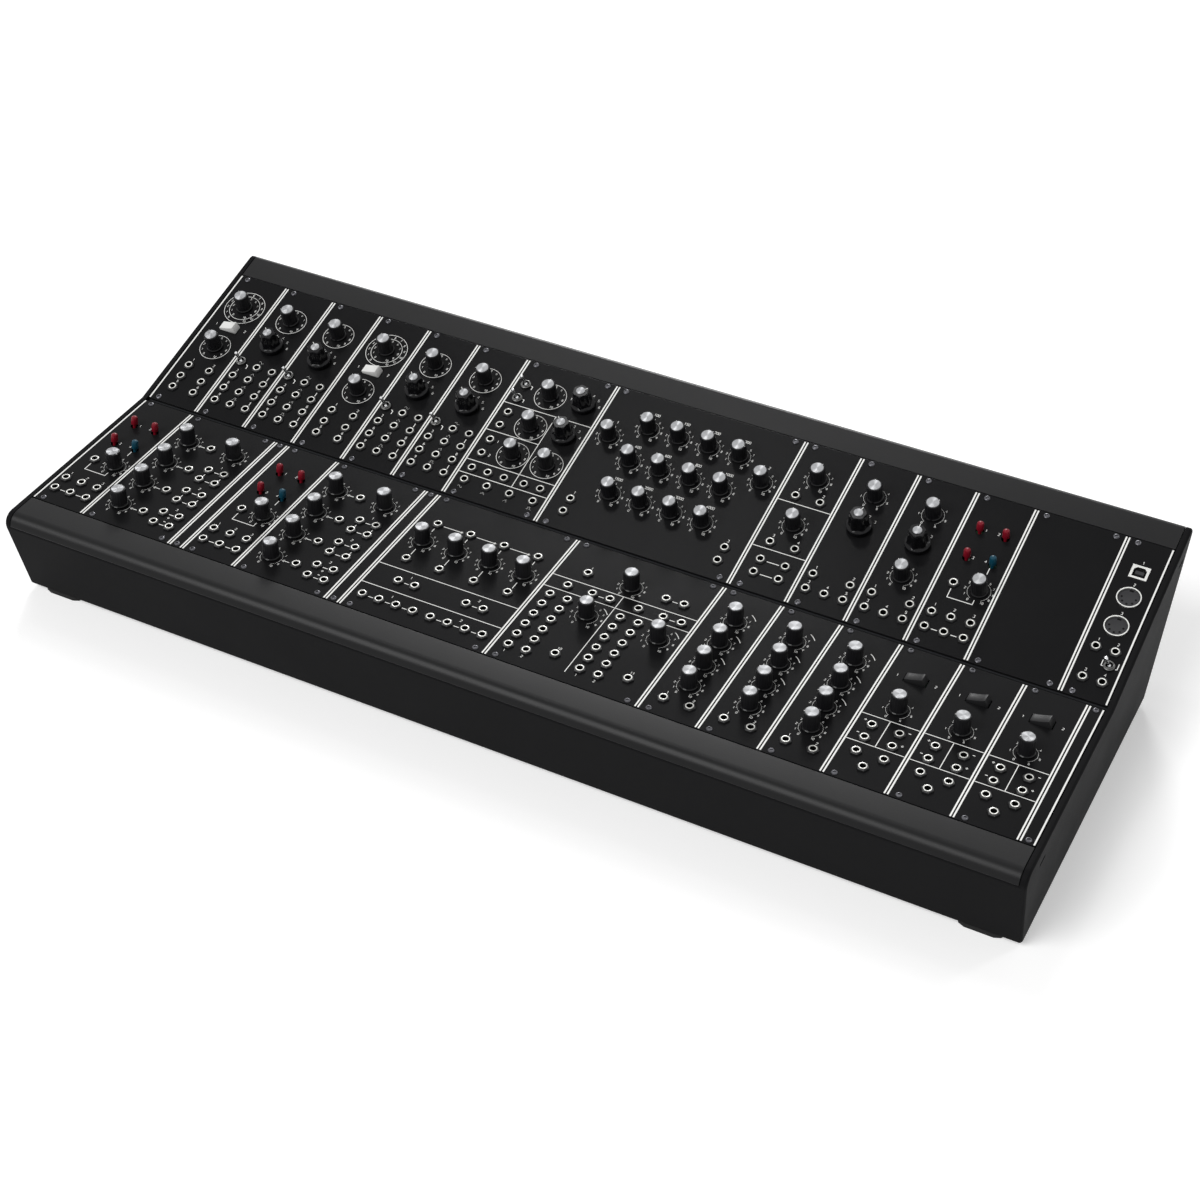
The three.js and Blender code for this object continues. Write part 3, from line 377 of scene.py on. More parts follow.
# The stroke of each plain number, as shares of its height
DIGITS = {
    "0": [
        (0.1, 0), (0, 0.15), (0, 0.85), (0.1, 1), (0.45, 1), (0.55, 0.85), (0.55, 0.15), (0.45, 0),
        (0.1, 0),
    ],
    "1": [(0.1, 0.8), (0.32, 1), (0.32, 0)],
    "2": [(0, 0.85), (0.1, 1), (0.45, 1), (0.55, 0.85), (0.55, 0.6), (0, 0), (0.55, 0)],
    "3": [
        (0, 0.9), (0.1, 1), (0.45, 1), (0.55, 0.85), (0.4, 0.52), (0.55, 0.2), (0.45, 0), (0.1, 0),
        (0, 0.1),
    ],
    "4": [(0.42, 0), (0.42, 1), (0, 0.3), (0.58, 0.3)],
    "5": [
        (0.55, 1), (0.05, 1), (0.03, 0.55), (0.42, 0.6), (0.55, 0.4), (0.5, 0.05), (0.1, 0), (0, 0.1),
    ],
    "6": [(0.45, 1), (0.1, 0.8), (0, 0.4), (0.06, 0), (0.5, 0), (0.55, 0.5), (0.04, 0.5)],
    "7": [(0, 1), (0.55, 1), (0.2, 0)],
    "8": [
        (0.28, 0.52), (0.03, 0.66), (0.06, 1), (0.5, 1), (0.53, 0.66), (0.28, 0.52), (0, 0.34),
        (0.04, 0), (0.52, 0), (0.56, 0.34), (0.28, 0.52),
    ],
    "9": [(0.1, 0), (0.45, 0.2), (0.55, 0.6), (0.49, 1), (0.05, 1), (0, 0.5), (0.51, 0.5)],
}
DIGIT_WIDTH_SHARE, DIGIT_ADVANCE_SHARE, DIGIT_STROKE_SHARE = 0.56, 0.82, 0.15
WAVES = {
    "triangle": [(-0.5, 0), (0, 1), (0.5, 0)],
    "saw": [(-0.5, 0), (0.25, 1), (0.25, 0), (0.5, 0.33)],
    "pulse": [(-0.6, 0), (-0.3, 0), (-0.3, 1), (0.2, 1), (0.2, 0), (0.6, 0)],
    "sine": [(-0.6 + 0.1 * i, 0.5 + 0.5 * math.sin(math.pi * i / 6)) for i in range(13)],
}

# Holes in a panel, in millimetres: the radii of round ones and the half sizes of square ones
ROUND_HOLES = {
    "sockets": 3.1, "knobs": 3.6, "selectors": 3.6, "toggles": 2.9, "levers": 2.75,
    "din_sockets": 7.3,
}
SQUARE_HOLES = {"rockers": (7.6, 3.85), "usb_sockets": (5.2, 4.6)}

# Turned fittings, as (radius, height) in millimetres from a panel's face
CLEAR = 0.02  # keeps a foot off the face
BEHIND = -1.9  # a little less than the panel's thickness
BUSHING = [(4.6, CLEAR), (4.6, 0.5), (4.3, 0.7), (3.35, 0.7), (3.35, BEHIND)]
TOGGLE_NUT = [
    (3.65, CLEAR), (3.65, 1.5), (3.3, 1.8), (3.0, 1.8), (3.0, 2.5), (2.7, 2.6), (2.4, 2.4),
    (2.4, BEHIND),
]
DIN_RIM = [(8.1, CLEAR), (8.1, 1.2), (7.9, 1.5), (7.2, 1.5), (7.0, 1.2), (7.0, 0.4)]
DIN_INSERT = [(7.05, -4), (7.05, 0.45), (6.6, 0.45), (6.5, 0.2), (0, 0.2)]
DIN_HOLE = [(0.75, 0.15), (0.75, 0.24), (0, 0.24)]
DIN_PIN_CIRCLE = 4.6
DIN_KEYWAY = ((-1.3, 5.2, 0.15), (1.3, 6.5, 0.24))
USB_HALF = (5.85, 5.3)
USB_OPENING = [(-4.2, -3.75), (4.2, -3.75), (4.2, 1.9), (2.4, 3.75), (-2.4, 3.75), (-4.2, 1.9)]
USB_RISE = 0.8
USB_FLOOR = ((-4.3, -3.85, -2.0), (4.3, 3.85, -1.85))
USB_TONGUE = ((-2.8, -1.4, -1.85), (2.8, 1.2, 0.3))
SOCKET_DEPTH = 3

# Lamps: name, setting and share of its strength, spread in degrees, and where it shines from
LAMPS = (
    ("front_light", "front", 1, 36, (-0.352, -0.62, 0.70)),
    ("rear_light", "rear", 1, 14, (-0.352, 0.825, 0.44)),
    ("strip_light_middle", "strip", 1, 9, (-0.33, 0.52, 0.79)),
    ("strip_light_high", "strip", 2, 9, (-0.33, 0.30, 0.895)),
    ("side_light", "side", 1, 8, (0.39, 0.43, 0.81)),
)
FLOOR_HALF = 30  # metres

SMOOTH = 35  # degrees up to which an edge is shaded smooth
SAME_POINT = 0.000002  # metres within which two points are one
NOISE_RANGE = (0.3, 0.7)  # what noise mostly keeps to
PATCH = 40  # millimetres of the slow change in a finish
STRAIGHT_UP = 90  # degrees from u towards v
WIDE_UNITS, NARROW_UNITS = 10, 3  # panels with two screws across, and with one in the middle
REPEAT_TREE = "Controls at their places"


# Properties


def linear(code):
    """An sRGB hex colour as linear light."""
    parts = [int(code[i:i + 2], 16) / 255 for i in (0, 2, 4)]
    return tuple(c / 12.92 if c <= 0.04045 else ((c + 0.055) / 1.055) ** 2.4 for c in parts)


def length(name, description, millimetres):
    """A length property with its default in millimetres."""
    return FloatProperty(
        name=name, description=description, default=millimetres * MM, min=0, precision=5,
        unit="LENGTH", subtype="DISTANCE",
    )


def turn(name, description, degrees):
    """An angle property with its default in degrees."""
    return FloatProperty(
        name=name, description=description, default=math.radians(degrees), subtype="ANGLE",
    )


def level(name, description, default):
    """A strength that isn't negative."""
    return FloatProperty(name=name, description=description, default=default, min=0)


def colour(name, description, code):
    """A colour property with an sRGB hex default."""
    return FloatVectorProperty(
        name=name, description=description, default=linear(code), min=0, max=1, size=3,
        subtype="COLOR",
    )


class RowSizes(PropertyGroup):
    """Sizes of the two rows of panels."""

    pitch: length("Unit", "Width of one unit of module width", 5.08)
    height: length("Panel height", "Height of every panel", 128.5)
    thickness: length("Panel thickness", "Thickness of the sheet", 2)
    gap: length("Panel gap", "Between two neighbouring panels", 0.3)
    softening: length("Panel edge", "Rounding of the panels' edges", 0.15)
    rows_gap: length("Rows gap", "Between the rows, at the fold", 3.7)
    face: length("Face height", "The lower row's face above the ground", 70.6)
    tilt: turn("Upper tilt", "Lean of the upper row", 15)


class KnobSizes(PropertyGroup):
    """Sizes of the rotary knobs and step selectors."""

    radius: length("Knob radius", "At the knob's foot", 5.95)
    top_radius: length("Knob top radius", "At the shoulder under the cap", 5.25)
    top: length("Knob top", "Cap's face above the panel", 13.95)
    foot: length("Knob foot", "Knob's foot above the panel", 1.0)
    cap_radius: length("Cap radius", "Turned metal cap", 4.2)
    rib_depth: length("Rib depth", "Depth of the grip ribs", 0.28)
    ribs: IntProperty(name="Ribs", description="Grip ribs round a knob", default=18, min=6, max=60)
    selector_skirt: length("Selector skirt", "Radius of the round skirt", 8.65)
    selector_foot: length("Selector foot", "Radius of the lobed body above the skirt", 7.1)
    selector_shoulder: length("Selector shoulder", "Radius at the top of its body", 5.95)
    selector_body: length("Selector body", "Top of its body above the panel", 15.95)
    selector_top: length("Selector top", "Cap's face above the panel", 16.65)
    selector_cap: length("Selector cap radius", "Turned metal cap", 3.05)


class SwitchSizes(PropertyGroup):
    """Sizes of toggles, capped levers and rockers."""

    toggle_lean: turn("Toggle lean", "Lean of a toggle at rest", 18)
    toggle_pivot: length("Toggle pivot", "Pivot above the panel", 1.1)
    toggle_reach: length("Toggle reach", "From the pivot to the tip", 8.8)
    lever_lean: turn("Lever lean", "Lean of a lever at rest", 12)
    lever_pivot: length("Lever pivot depth", "Pivot below the panel's face", 0.4)
    lever_reach: length("Lever reach", "From the pivot to the top of the cap", 8.15)
    lever_cap: length("Lever cap radius", "Of the coloured cap", 2.45)
    rocker_tilt: turn("Rocker tilt", "Tilt of a rocker at rest", 16)
    rocker_pivot: length("Rocker pivot depth", "Pivot below the panel's face", 1)
    rocker_half: length("Rocker half length", "Half of the rocker's top", 6.15)
    rocker_foot: length("Rocker foot", "Half of the rocker's foot", 7.05)
    rocker_width: length("Rocker width", "Across the rocker", 6.8)
    rocker_rise: length("Rocker rise", "Top face above the pivot", 4.1)


class SocketSizes(PropertyGroup):
    """Sizes of the sockets and panel screws."""

    nut_radius: length("Nut radius", "Dark ring nut of a patch socket", 4.1)
    nut_height: length("Nut height", "Above the panel", 1.35)
    ring_radius: length("Ring radius", "Bright sleeve of a patch socket", 2.8)
    ring_height: length("Ring height", "Above the panel", 1.8)
    bore_radius: length("Bore radius", "Mouth for a 3.5 mm plug", 1.95)
    screw_radius: length("Screw radius", "Head of a panel screw", 2.1)
    screw_rise: length("Screw rise", "Head above the panel", 0.9)
    screw_inset: length("Screw inset", "From the panel's edge", 3)
    screw_column: length("Screw column", "From the panel's side", 7.2)


class PrintSizes(PropertyGroup):
    """Sizes of the white print."""

    rise: length("Ink rise", "Ink above the panel's face", 0.04)
    side_width: length("Side line", "Width of the lines at a module's sides", 1.05)
    side_inset: length("Side line inset", "Middle of a side line from the module's edge", 1.0)
    side_ends: length("Side line ends", "From the panel's lower and upper edge", 0.6)
    line_width: length("Line width", "Boxes and links", 0.55)
    fine_width: length("Fine line width", "Scales", 0.13)
    ring_width: length("Ring width", "Rings round the numbers", 0.36)
    number_height: length("Number height", "Numbers beside sockets", 1.9)
    scale_height: length("Scale number height", "Numbers round a knob", 1.55)


class Finishes(PropertyGroup):
    """Colours of the main finishes."""

    case: colour("Case tub", "Matt powder coated sheet metal", "141415")
    shell: colour("Front and rear shells", "Satin powder coated sheet metal", "141415")
    panel: colour("Panels", "Black satin lacquer", "171718")
    ink: colour("Ink", "Screen printed lines", "f6f6f3")
    knob: colour("Knobs", "Moulded grips", "141416")
    cap: colour("Caps", "Turned aluminium", "a8a9ab")
    red: colour("Red caps", "Lever caps", "7c0f20")
    blue: colour("Blue caps", "Lever caps", "0e4254")
    white: colour("White rockers", "Moulded rockers", "e4e4e2")
    dark: colour("Dark rockers", "Moulded rockers", "222223")


class StageSizes(PropertyGroup):
    """Camera and light."""

    camera_place: FloatVectorProperty(
        name="Camera place", description="Where the photograph was taken from",
        default=(0.55324, -1.04629, 1.01445), size=3, subtype="TRANSLATION",
    )
    camera_turn: FloatVectorProperty(
        name="Camera turn", description="Its pitch, roll and yaw",
        default=(math.radians(50.015), 0, math.radians(27.374)), size=3, subtype="EULER",
    )
    lens: FloatProperty(
        name="Lens", description="Focal length on a 36 mm sensor", default=68.77,
        unit="CAMERA",
    )
    sky: level("Sky", "Level of the even light", 0.28)
    front: level("Front light", "Strength of the light in front", 1.85)
    rear: level("Rear light", "Strength of the low light behind", 1.05)
    strip: level("Strip light", "Strength of each part of a tall faint light behind", 0.07)
    side: level("Side light", "Strength of the small light on the right", 0.2)


class Synthesizer(PropertyGroup):
    """Everything that a user may change."""

    rows: PointerProperty(type=RowSizes)
    knobs: PointerProperty(type=KnobSizes)
    switches: PointerProperty(type=SwitchSizes)
    sockets: PointerProperty(type=SocketSizes)
    ink: PointerProperty(type=PrintSizes)
    finishes: PointerProperty(type=Finishes)
    stage: PointerProperty(type=StageSizes)


# Mesh code


class Shape:
    """Points and faces of a mesh in the making."""

    def __init__(self):
        self.points, self.faces = [], []

    def add(self, points, faces):
        first = len(self.points)
        self.points += [Vector(p) for p in points]
        self.faces += [[first + i for i in face] for face in faces]
        return self

    def join(self, other, matrix=Matrix.Identity(4)):
        return self.add([matrix @ p for p in other.points], other.faces)

    def moved(self, matrix):
        return Shape().join(self, matrix)

    def band(self, low, high, count, closed=True):
        """Faces between two rows of points that start at the numbers low and high."""
        for i in range(count if closed else count - 1):
            j = (i + 1) % count
            self.faces.append([low + i, low + j, high + j, high + i])


def around(radius, height, sides, share_at=None):
    """Points round w. The share of the radius may follow the angle."""
    points = []
    for i in range(sides):
        angle = 2 * math.pi * i / sides
        reach = radius * share_at(angle) if share_at else radius
        points.append(Vector((reach * math.cos(angle), reach * math.sin(angle), height)))
    return points


def turned(profile, sides):
    """A profile of (radius, height) pairs, from the bottom up, turned about w.

    A radius of zero is a pole.
    """
    shape, rings = Shape(), []
    for radius, height in profile:
        first = len(shape.points)
        if radius == 0:
            shape.points.append(Vector((0, 0, height)))
            rings.append([first] * sides)
        else:
            shape.points += around(radius, height, sides)
            rings.append(list(range(first, first + sides)))
    for low, high in zip(rings, rings[1:]):
        for i in range(sides):
            j = (i + 1) % sides
            corners = [low[i], low[j], high[j], high[i]]
            shape.faces.append(list(dict.fromkeys(corners)))
    return shape


def fluted(levels, sides, share_at):
    """Rings of (radius, height, depth) levels from the bottom up, closed at both ends.

    The share of the radius follows the angle and the depth of the level's flutes.
    """
    shape = Shape()
    for radius, height, depth in levels:
        shape.points += around(radius, height, sides, lambda angle: share_at(angle, depth))
    last = (len(levels) - 1) * sides
    for low in range(0, last, sides):
        shape.band(low, low + sides, sides)
    shape.faces.append(list(range(sides))[::-1])
    shape.faces.append([last + i for i in range(sides)])
    return shape


def metric(points):
    """Points in millimetres turned to metres."""
    return [tuple(value * MM for value in point) for point in points]


def block(low, high):
    """A box between two corners."""
    (x0, y0, z0), (x1, y1, z1) = low, high
    points = [(x, y, z) for z in (z0, z1) for y in (y0, y1) for x in (x0, x1)]
    faces = [(0, 2, 3, 1), (4, 5, 7, 6), (0, 1, 5, 4), (2, 6, 7, 3), (0, 4, 6, 2), (1, 3, 7, 5)]
    return Shape().add(points, faces)


def stroke(points, width, height, closed=False):
    """A flat line of a width through (u, v) points, mitred at its corners."""
    spots = [Vector(p) for p in points]
    count = len(spots)
    left, right = [], []
    for i, spot in enumerate(spots):
        before = spots[i - 1] if i or closed else None
        after = spots[(i + 1) % count] if i < count - 1 or closed else None
        ways = [(spot - before).normalized()] if before is not None else []
        ways += [(after - spot).normalized()] if after is not None else []
        way = sum(ways, Vector((0, 0))).normalized()
        side = Vector((-way.y, way.x))
        spread = width / 2 / max(0.5, side.dot(Vector((-ways[0].y, ways[0].x))))
        left.append(spot + side * spread)
        right.append(spot - side * spread)
    shape = Shape().add([(p.x, p.y, height) for p in left + right], [])
    shape.band(count, 0, count, closed)
    return shape


def circle(radius, centre=(0, 0), start=0.0, sweep=360.0, steps=48):
    """Points of an arc, in degrees from u towards v."""
    angles = [math.radians(start + sweep * i / steps) for i in range(steps + (sweep < 360))]
    return [(centre[0] + radius * math.cos(a), centre[1] + radius * math.sin(a)) for a in angles]


def linked(name, data):
    """An object in the scene with its mesh, curve, lamp or camera."""
    made = bpy.data.objects.new(name, data)
    bpy.context.scene.collection.objects.link(made)
    return made


def make_object(name, shape, material):
    """A mesh object of a shape, in the scene."""
    mesh = bpy.data.meshes.new(name)
    mesh.from_pydata([tuple(p) for p in shape.points], [], shape.faces)
    mesh.validate()
    return put(name, mesh, material)


def put(name, mesh, material, smooth=SMOOTH):
    """Links a mesh to the scene under a name, with its material, smooth up to an angle."""
    mesh.name = name
    mesh.materials.clear()
    mesh.materials.append(material)
    mesh.shade_smooth()
    mesh.set_sharp_from_angle(angle=math.radians(smooth))
    return linked(name, mesh)


def applied(made):
    """Turns an object's modifiers or curve into its plain mesh."""
    bpy.context.view_layer.update()
    graph = bpy.context.evaluated_depsgraph_get()
    mesh = bpy.data.meshes.new_from_object(made.evaluated_get(graph))
    bpy.data.objects.remove(made)
    return mesh


@contextmanager
def editing(mesh):
    """A mesh open for edits, with its doubled points joined."""
    edit = bmesh.new()
    edit.from_mesh(mesh)
    bmesh.ops.remove_doubles(edit, verts=edit.verts, dist=SAME_POINT)
    yield edit
    edit.to_mesh(mesh)
    edit.free()


def softened(node, name, material, width, segments=2):
    """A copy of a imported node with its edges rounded."""
    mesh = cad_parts[node].data.copy()
    with editing(mesh) as edit:
        bmesh.ops.dissolve_limit(
            edit, angle_limit=math.radians(0.2), verts=edit.verts, edges=edit.edges,
        )
    mesh.materials.clear()
    rough = linked(name, mesh)
    bevel = rough.modifiers.new("Edges", "BEVEL")
    bevel.width = width
    bevel.segments = segments
    bevel.limit_method = "ANGLE"
    bevel.angle_limit = math.radians(38)
    return evened(put(name, applied(rough), material, 42))


def evened(made):
    """Weights the shading by the size of the faces, so that flat faces stay flat beside round ones."""
    made.modifiers.new("Even", "WEIGHTED_NORMAL").keep_sharp = True
    name = made.name
    mesh = applied(made)
    mesh.name = name
    return linked(name, mesh)


# Repeats with Geometry Nodes


def repeat_tree():
    """A node tree that puts a shape at every point of a mesh, turned by its facing."""
    tree = bpy.data.node_groups.get(REPEAT_TREE)
    if tree:
        return tree
    tree = bpy.data.node_groups.new(REPEAT_TREE, "GeometryNodeTree")
    made = tree.interface
    made.new_socket("Places", in_out="INPUT", socket_type="NodeSocketGeometry")
    made.new_socket("Control", in_out="INPUT", socket_type="NodeSocketObject")
    made.new_socket("Size", in_out="INPUT", socket_type="NodeSocketFloat").default_value = 1
    made.new_socket("Finish", in_out="INPUT", socket_type="NodeSocketMaterial")
    made.new_socket("Controls", in_out="OUTPUT", socket_type="NodeSocketGeometry")
    given = add_node(tree, "NodeGroupInput")
    control = add_node(
        tree, "GeometryNodeObjectInfo", {"transform_space": "ORIGINAL"},
        Object=given.outputs["Control"],
    )
    facing = add_node(
        tree, "GeometryNodeInputNamedAttribute", {"data_type": "FLOAT_VECTOR"}, Name="facing",
    )
    rotation = add_node(tree, "FunctionNodeEulerToRotation", Euler=facing.outputs["Attribute"])
    placed = add_node(
        tree, "GeometryNodeInstanceOnPoints", Points=given.outputs["Places"],
        Instance=control.outputs["Geometry"], Rotation=rotation.outputs["Rotation"],
        Scale=given.outputs["Size"],
    )
    real = add_node(tree, "GeometryNodeRealizeInstances", Geometry=placed.outputs["Instances"])
    finished = add_node(
        tree, "GeometryNodeSetMaterial", Geometry=real.outputs["Geometry"],
        Material=given.outputs["Finish"],
    )
    add_node(tree, "NodeGroupOutput", Controls=finished.outputs["Geometry"])
    return tree


def repeated(name, shape, places, material, mappings=()):
    """One plain mesh of a shape at many places, each a matrix in the model's frame."""
    pattern = make_object(name + "_pattern", shape, material)
    for mapping in mappings:
        mapping(pattern.data)
    points = bpy.data.meshes.new(name + "_places")
    points.from_pydata([tuple(place.translation) for place in places], [], [])
    facing = points.attributes.new("facing", "FLOAT_VECTOR", "POINT")
    facing.data.foreach_set("vector", [value for place in places for value in place.to_euler()])
    holder = linked(name, points)
    modifier = holder.modifiers.new("Repeat", "NODES")
    tree = repeat_tree()
    modifier.node_group = tree
    inputs = [item for item in tree.interface.items_tree if item.in_out == "INPUT"]
    sockets = {item.name: item.identifier for item in inputs}
    modifier[sockets["Control"]] = pattern
    modifier[sockets["Size"]] = 1.0
    modifier[sockets["Finish"]] = material
    mesh = applied(holder)
    bpy.data.objects.remove(pattern)
    if "facing" in mesh.attributes:
        mesh.attributes.remove(mesh.attributes["facing"])
    return put(name, mesh, material)


# Places


def row_frame(rows, row, left=0.0):
    """The frame of a panel whose left edge lies that far along its row."""
    start = -ROW_UNITS * rows.pitch / 2 + left
    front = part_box("controller_left")[0].y
    if row == "lower":
        return Matrix.Translation((start, front, rows.face))
    fold = front + rows.height + rows.rows_gap
    return Matrix.Translation((start, fold, rows.face)) @ Matrix.Rotation(rows.tilt, 4, "X")


def modules(rows):
    """Every module as (name, kind, width, frame)."""
    found = []
    for row, members in ROWS.items():
        left = 0
        for name, kind, units in members:
            found.append((name, kind, units * rows.pitch, row_frame(rows, row, left * rows.pitch)))
            left += units
    return found


def controls(rows, control):
    """Every control of a kind as (its mover or None, its frame, module, kind, number)."""
    found = []
    for name, kind, width, base in modules(rows):
        for number, (across, up) in enumerate(KINDS[kind].get(control, [])):
            place = base @ Matrix.Translation((across * width, up * rows.height, 0))
            found.append((MOVERS.get((name, control, number)), place, name, kind, number))
    return found


def leaned(height, angle, axis):
    """A lean about a pivot at a height over the panel's face."""
    return Matrix.Translation((0, 0, height)) @ Matrix.Rotation(-angle, 4, axis)


def turned_spots(rows, control):
    """Every knob or selector as (its mover or None, its frame turned to its pointer)."""
    spots = []
    for mover, place, name, _, number in controls(rows, control):
        degrees = POINTERS.get((name, control), {}).get(number, STRAIGHT_UP)
        spots.append((mover, place @ Matrix.Rotation(math.radians(degrees), 4, "Z")))
    return spots


def dress(made, body="case"):
    """Lets a finished piece ride on a body."""
    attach(made, body)
    return made


def fit_parts(label, parts, spots):
    """Makes a control's parts: all the fixed ones as one mesh a part, each mover by itself.

    Parts are (word, shape, material), with a mapping of the mesh after it where it has one.
    Spots are (mover or None, matrix). The mover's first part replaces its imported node.
    """
    fixed = [matrix for mover, matrix in spots if not mover]
    for index, (word, shape, material, *mappings) in enumerate(parts):
        if fixed:
            dress(repeated(f"fixed_{label}_{word}", shape, fixed, material, mappings))
        for mover, matrix in spots:
            if not mover:
                continue
            made = repeated(f"{mover}_{word}", shape, [matrix], material, mappings)
            dress(made, mover + "_body")
            if index == 0:
                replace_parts(made, mover)


# Materials


def fill(tree, node, **inputs):
    """Gives a node its values and links, by an input's name or its number after a low line."""
    for key, value in inputs.items():
        socket = node.inputs[int(key[1:])] if key[0] == "_" else node.inputs[key.replace("_", " ")]
        if isinstance(value, bpy.types.NodeSocket):
            tree.links.new(value, socket)
        else:
            socket.default_value = value
    return node


def add_node(tree, kind, settings=None, **inputs):
    """Adds a node with its settings, values and links."""
    made = tree.nodes.new(kind)
    for key, value in (settings or {}).items():
        setattr(made, key, value)
    return fill(tree, made, **inputs)


def start_material(name):
    """An empty node material with its shader, output and Object coordinates."""
    made = bpy.data.materials.new(name)
    made.use_nodes = True
    tree = made.node_tree
    tree.nodes.clear()
    shader = add_node(tree, "ShaderNodeBsdfPrincipled")
    add_node(tree, "ShaderNodeOutputMaterial", Surface=shader.outputs["BSDF"])
    place = add_node(tree, "ShaderNodeTexCoord").outputs["Object"]
    return made, tree, shader, place


def ramped(tree, factor, low, high):
    """A colour between two tones that follows noise."""
    ramp = add_node(tree, "ShaderNodeValToRGB", Fac=factor)
    for stop, place, tone in zip(ramp.color_ramp.elements, NOISE_RANGE, (low, high)):
        stop.position = place
        stop.color = (*tone, 1)
    return ramp.outputs["Color"]


def grained(name, tone, spread, grain, roughness, bump, metallic=0.0, specular=0.5):
    """A grained finish: its colour, roughness and relief follow noise of a real grain size.

    The spread is how far the tone and the roughness wander. The grain is the size of the
    fine noise and the bump its relief, in millimetres.
    """
    made, tree, shader, place = start_material(name)
    fine = add_node(
        tree, "ShaderNodeTexNoise", Vector=place, Scale=1 / (grain * MM), Detail=3.0,
        Roughness=0.6,
    )
    slow = add_node(tree, "ShaderNodeTexNoise", Vector=place, Scale=1 / (PATCH * MM), Detail=2.0)
    both = 0.0
    for noise, weight in ((slow, 0.6), (fine, 0.4)):
        both = add_node(
            tree, "ShaderNodeMath", {"operation": "MULTIPLY_ADD"}, _0=noise.outputs["Fac"],
            _1=weight, _2=both,
        ).outputs[0]
    sheen = add_node(
        tree, "ShaderNodeMapRange", Value=both, From_Min=NOISE_RANGE[0], From_Max=NOISE_RANGE[1],
        To_Min=roughness * (1 - spread), To_Max=min(1, roughness * (1 + spread)),
    )
    relief = add_node(
        tree, "ShaderNodeBump", Height=fine.outputs["Fac"], Distance=bump * MM, Strength=1.0,
    )
    low = tuple(c * (1 - spread) for c in tone)
    high = tuple(min(1, c * (1 + spread)) for c in tone)
    fill(
        tree, shader, Base_Color=ramped(tree, both, low, high), Roughness=sheen.outputs["Result"],
        Normal=relief.outputs["Normal"], Metallic=metallic, Specular_IOR_Level=specular,
    )
    return made


def turned_metal(name, tone):
    """Aluminium faced on a lathe: fine rings round the cap spread its highlight into a fan."""
    made, tree, shader, _ = start_material(name)
    map_uv = add_node(tree, "ShaderNodeUVMap", {"uv_map": "turning"})
    apart = add_node(tree, "ShaderNodeSeparateXYZ", Vector=map_uv.outputs["UV"])
    rings = add_node(
        tree, "ShaderNodeTexNoise", {"noise_dimensions": "1D"}, W=apart.outputs["Y"], Scale=14.0,
        Detail=2.0,
    )
    tangent = add_node(tree, "ShaderNodeTangent", {"direction_type": "UV_MAP", "uv_map": "turning"})
    fill(
        tree, shader, Tangent=tangent.outputs["Tangent"], Metallic=1.0, Roughness=0.5,
        Base_Color=ramped(tree, rings.outputs["Fac"], [c * 0.86 for c in tone], tone),
        Anisotropic=0.9, Anisotropic_Rotation=0.25,
    )
    return made


def map_turning(mesh):
    """Gives a turned cap its UV map: u round the axis, v out from it."""
    layer = mesh.uv_layers.new(name="turning")
    reach = max(math.hypot(v.co.x, v.co.y) for v in mesh.vertices)
    for face in mesh.polygons:
        middle = math.atan2(face.center.y, face.center.x)
        for loop in face.loop_indices:
            point = mesh.vertices[mesh.loops[loop].vertex_index].co
            radius = math.hypot(point.x, point.y)
            angle = math.atan2(point.y, point.x) if radius > 1e-7 else middle
            angle = middle + (angle - middle + math.pi) % (2 * math.pi) - math.pi
            layer.data[loop].uv = (angle / (2 * math.pi), radius / reach)


def made_once(name, make, *values, **named):
    """A material by its name, made the first time that it is asked for."""
    return bpy.data.materials.get(name) or make(name, *values, **named)


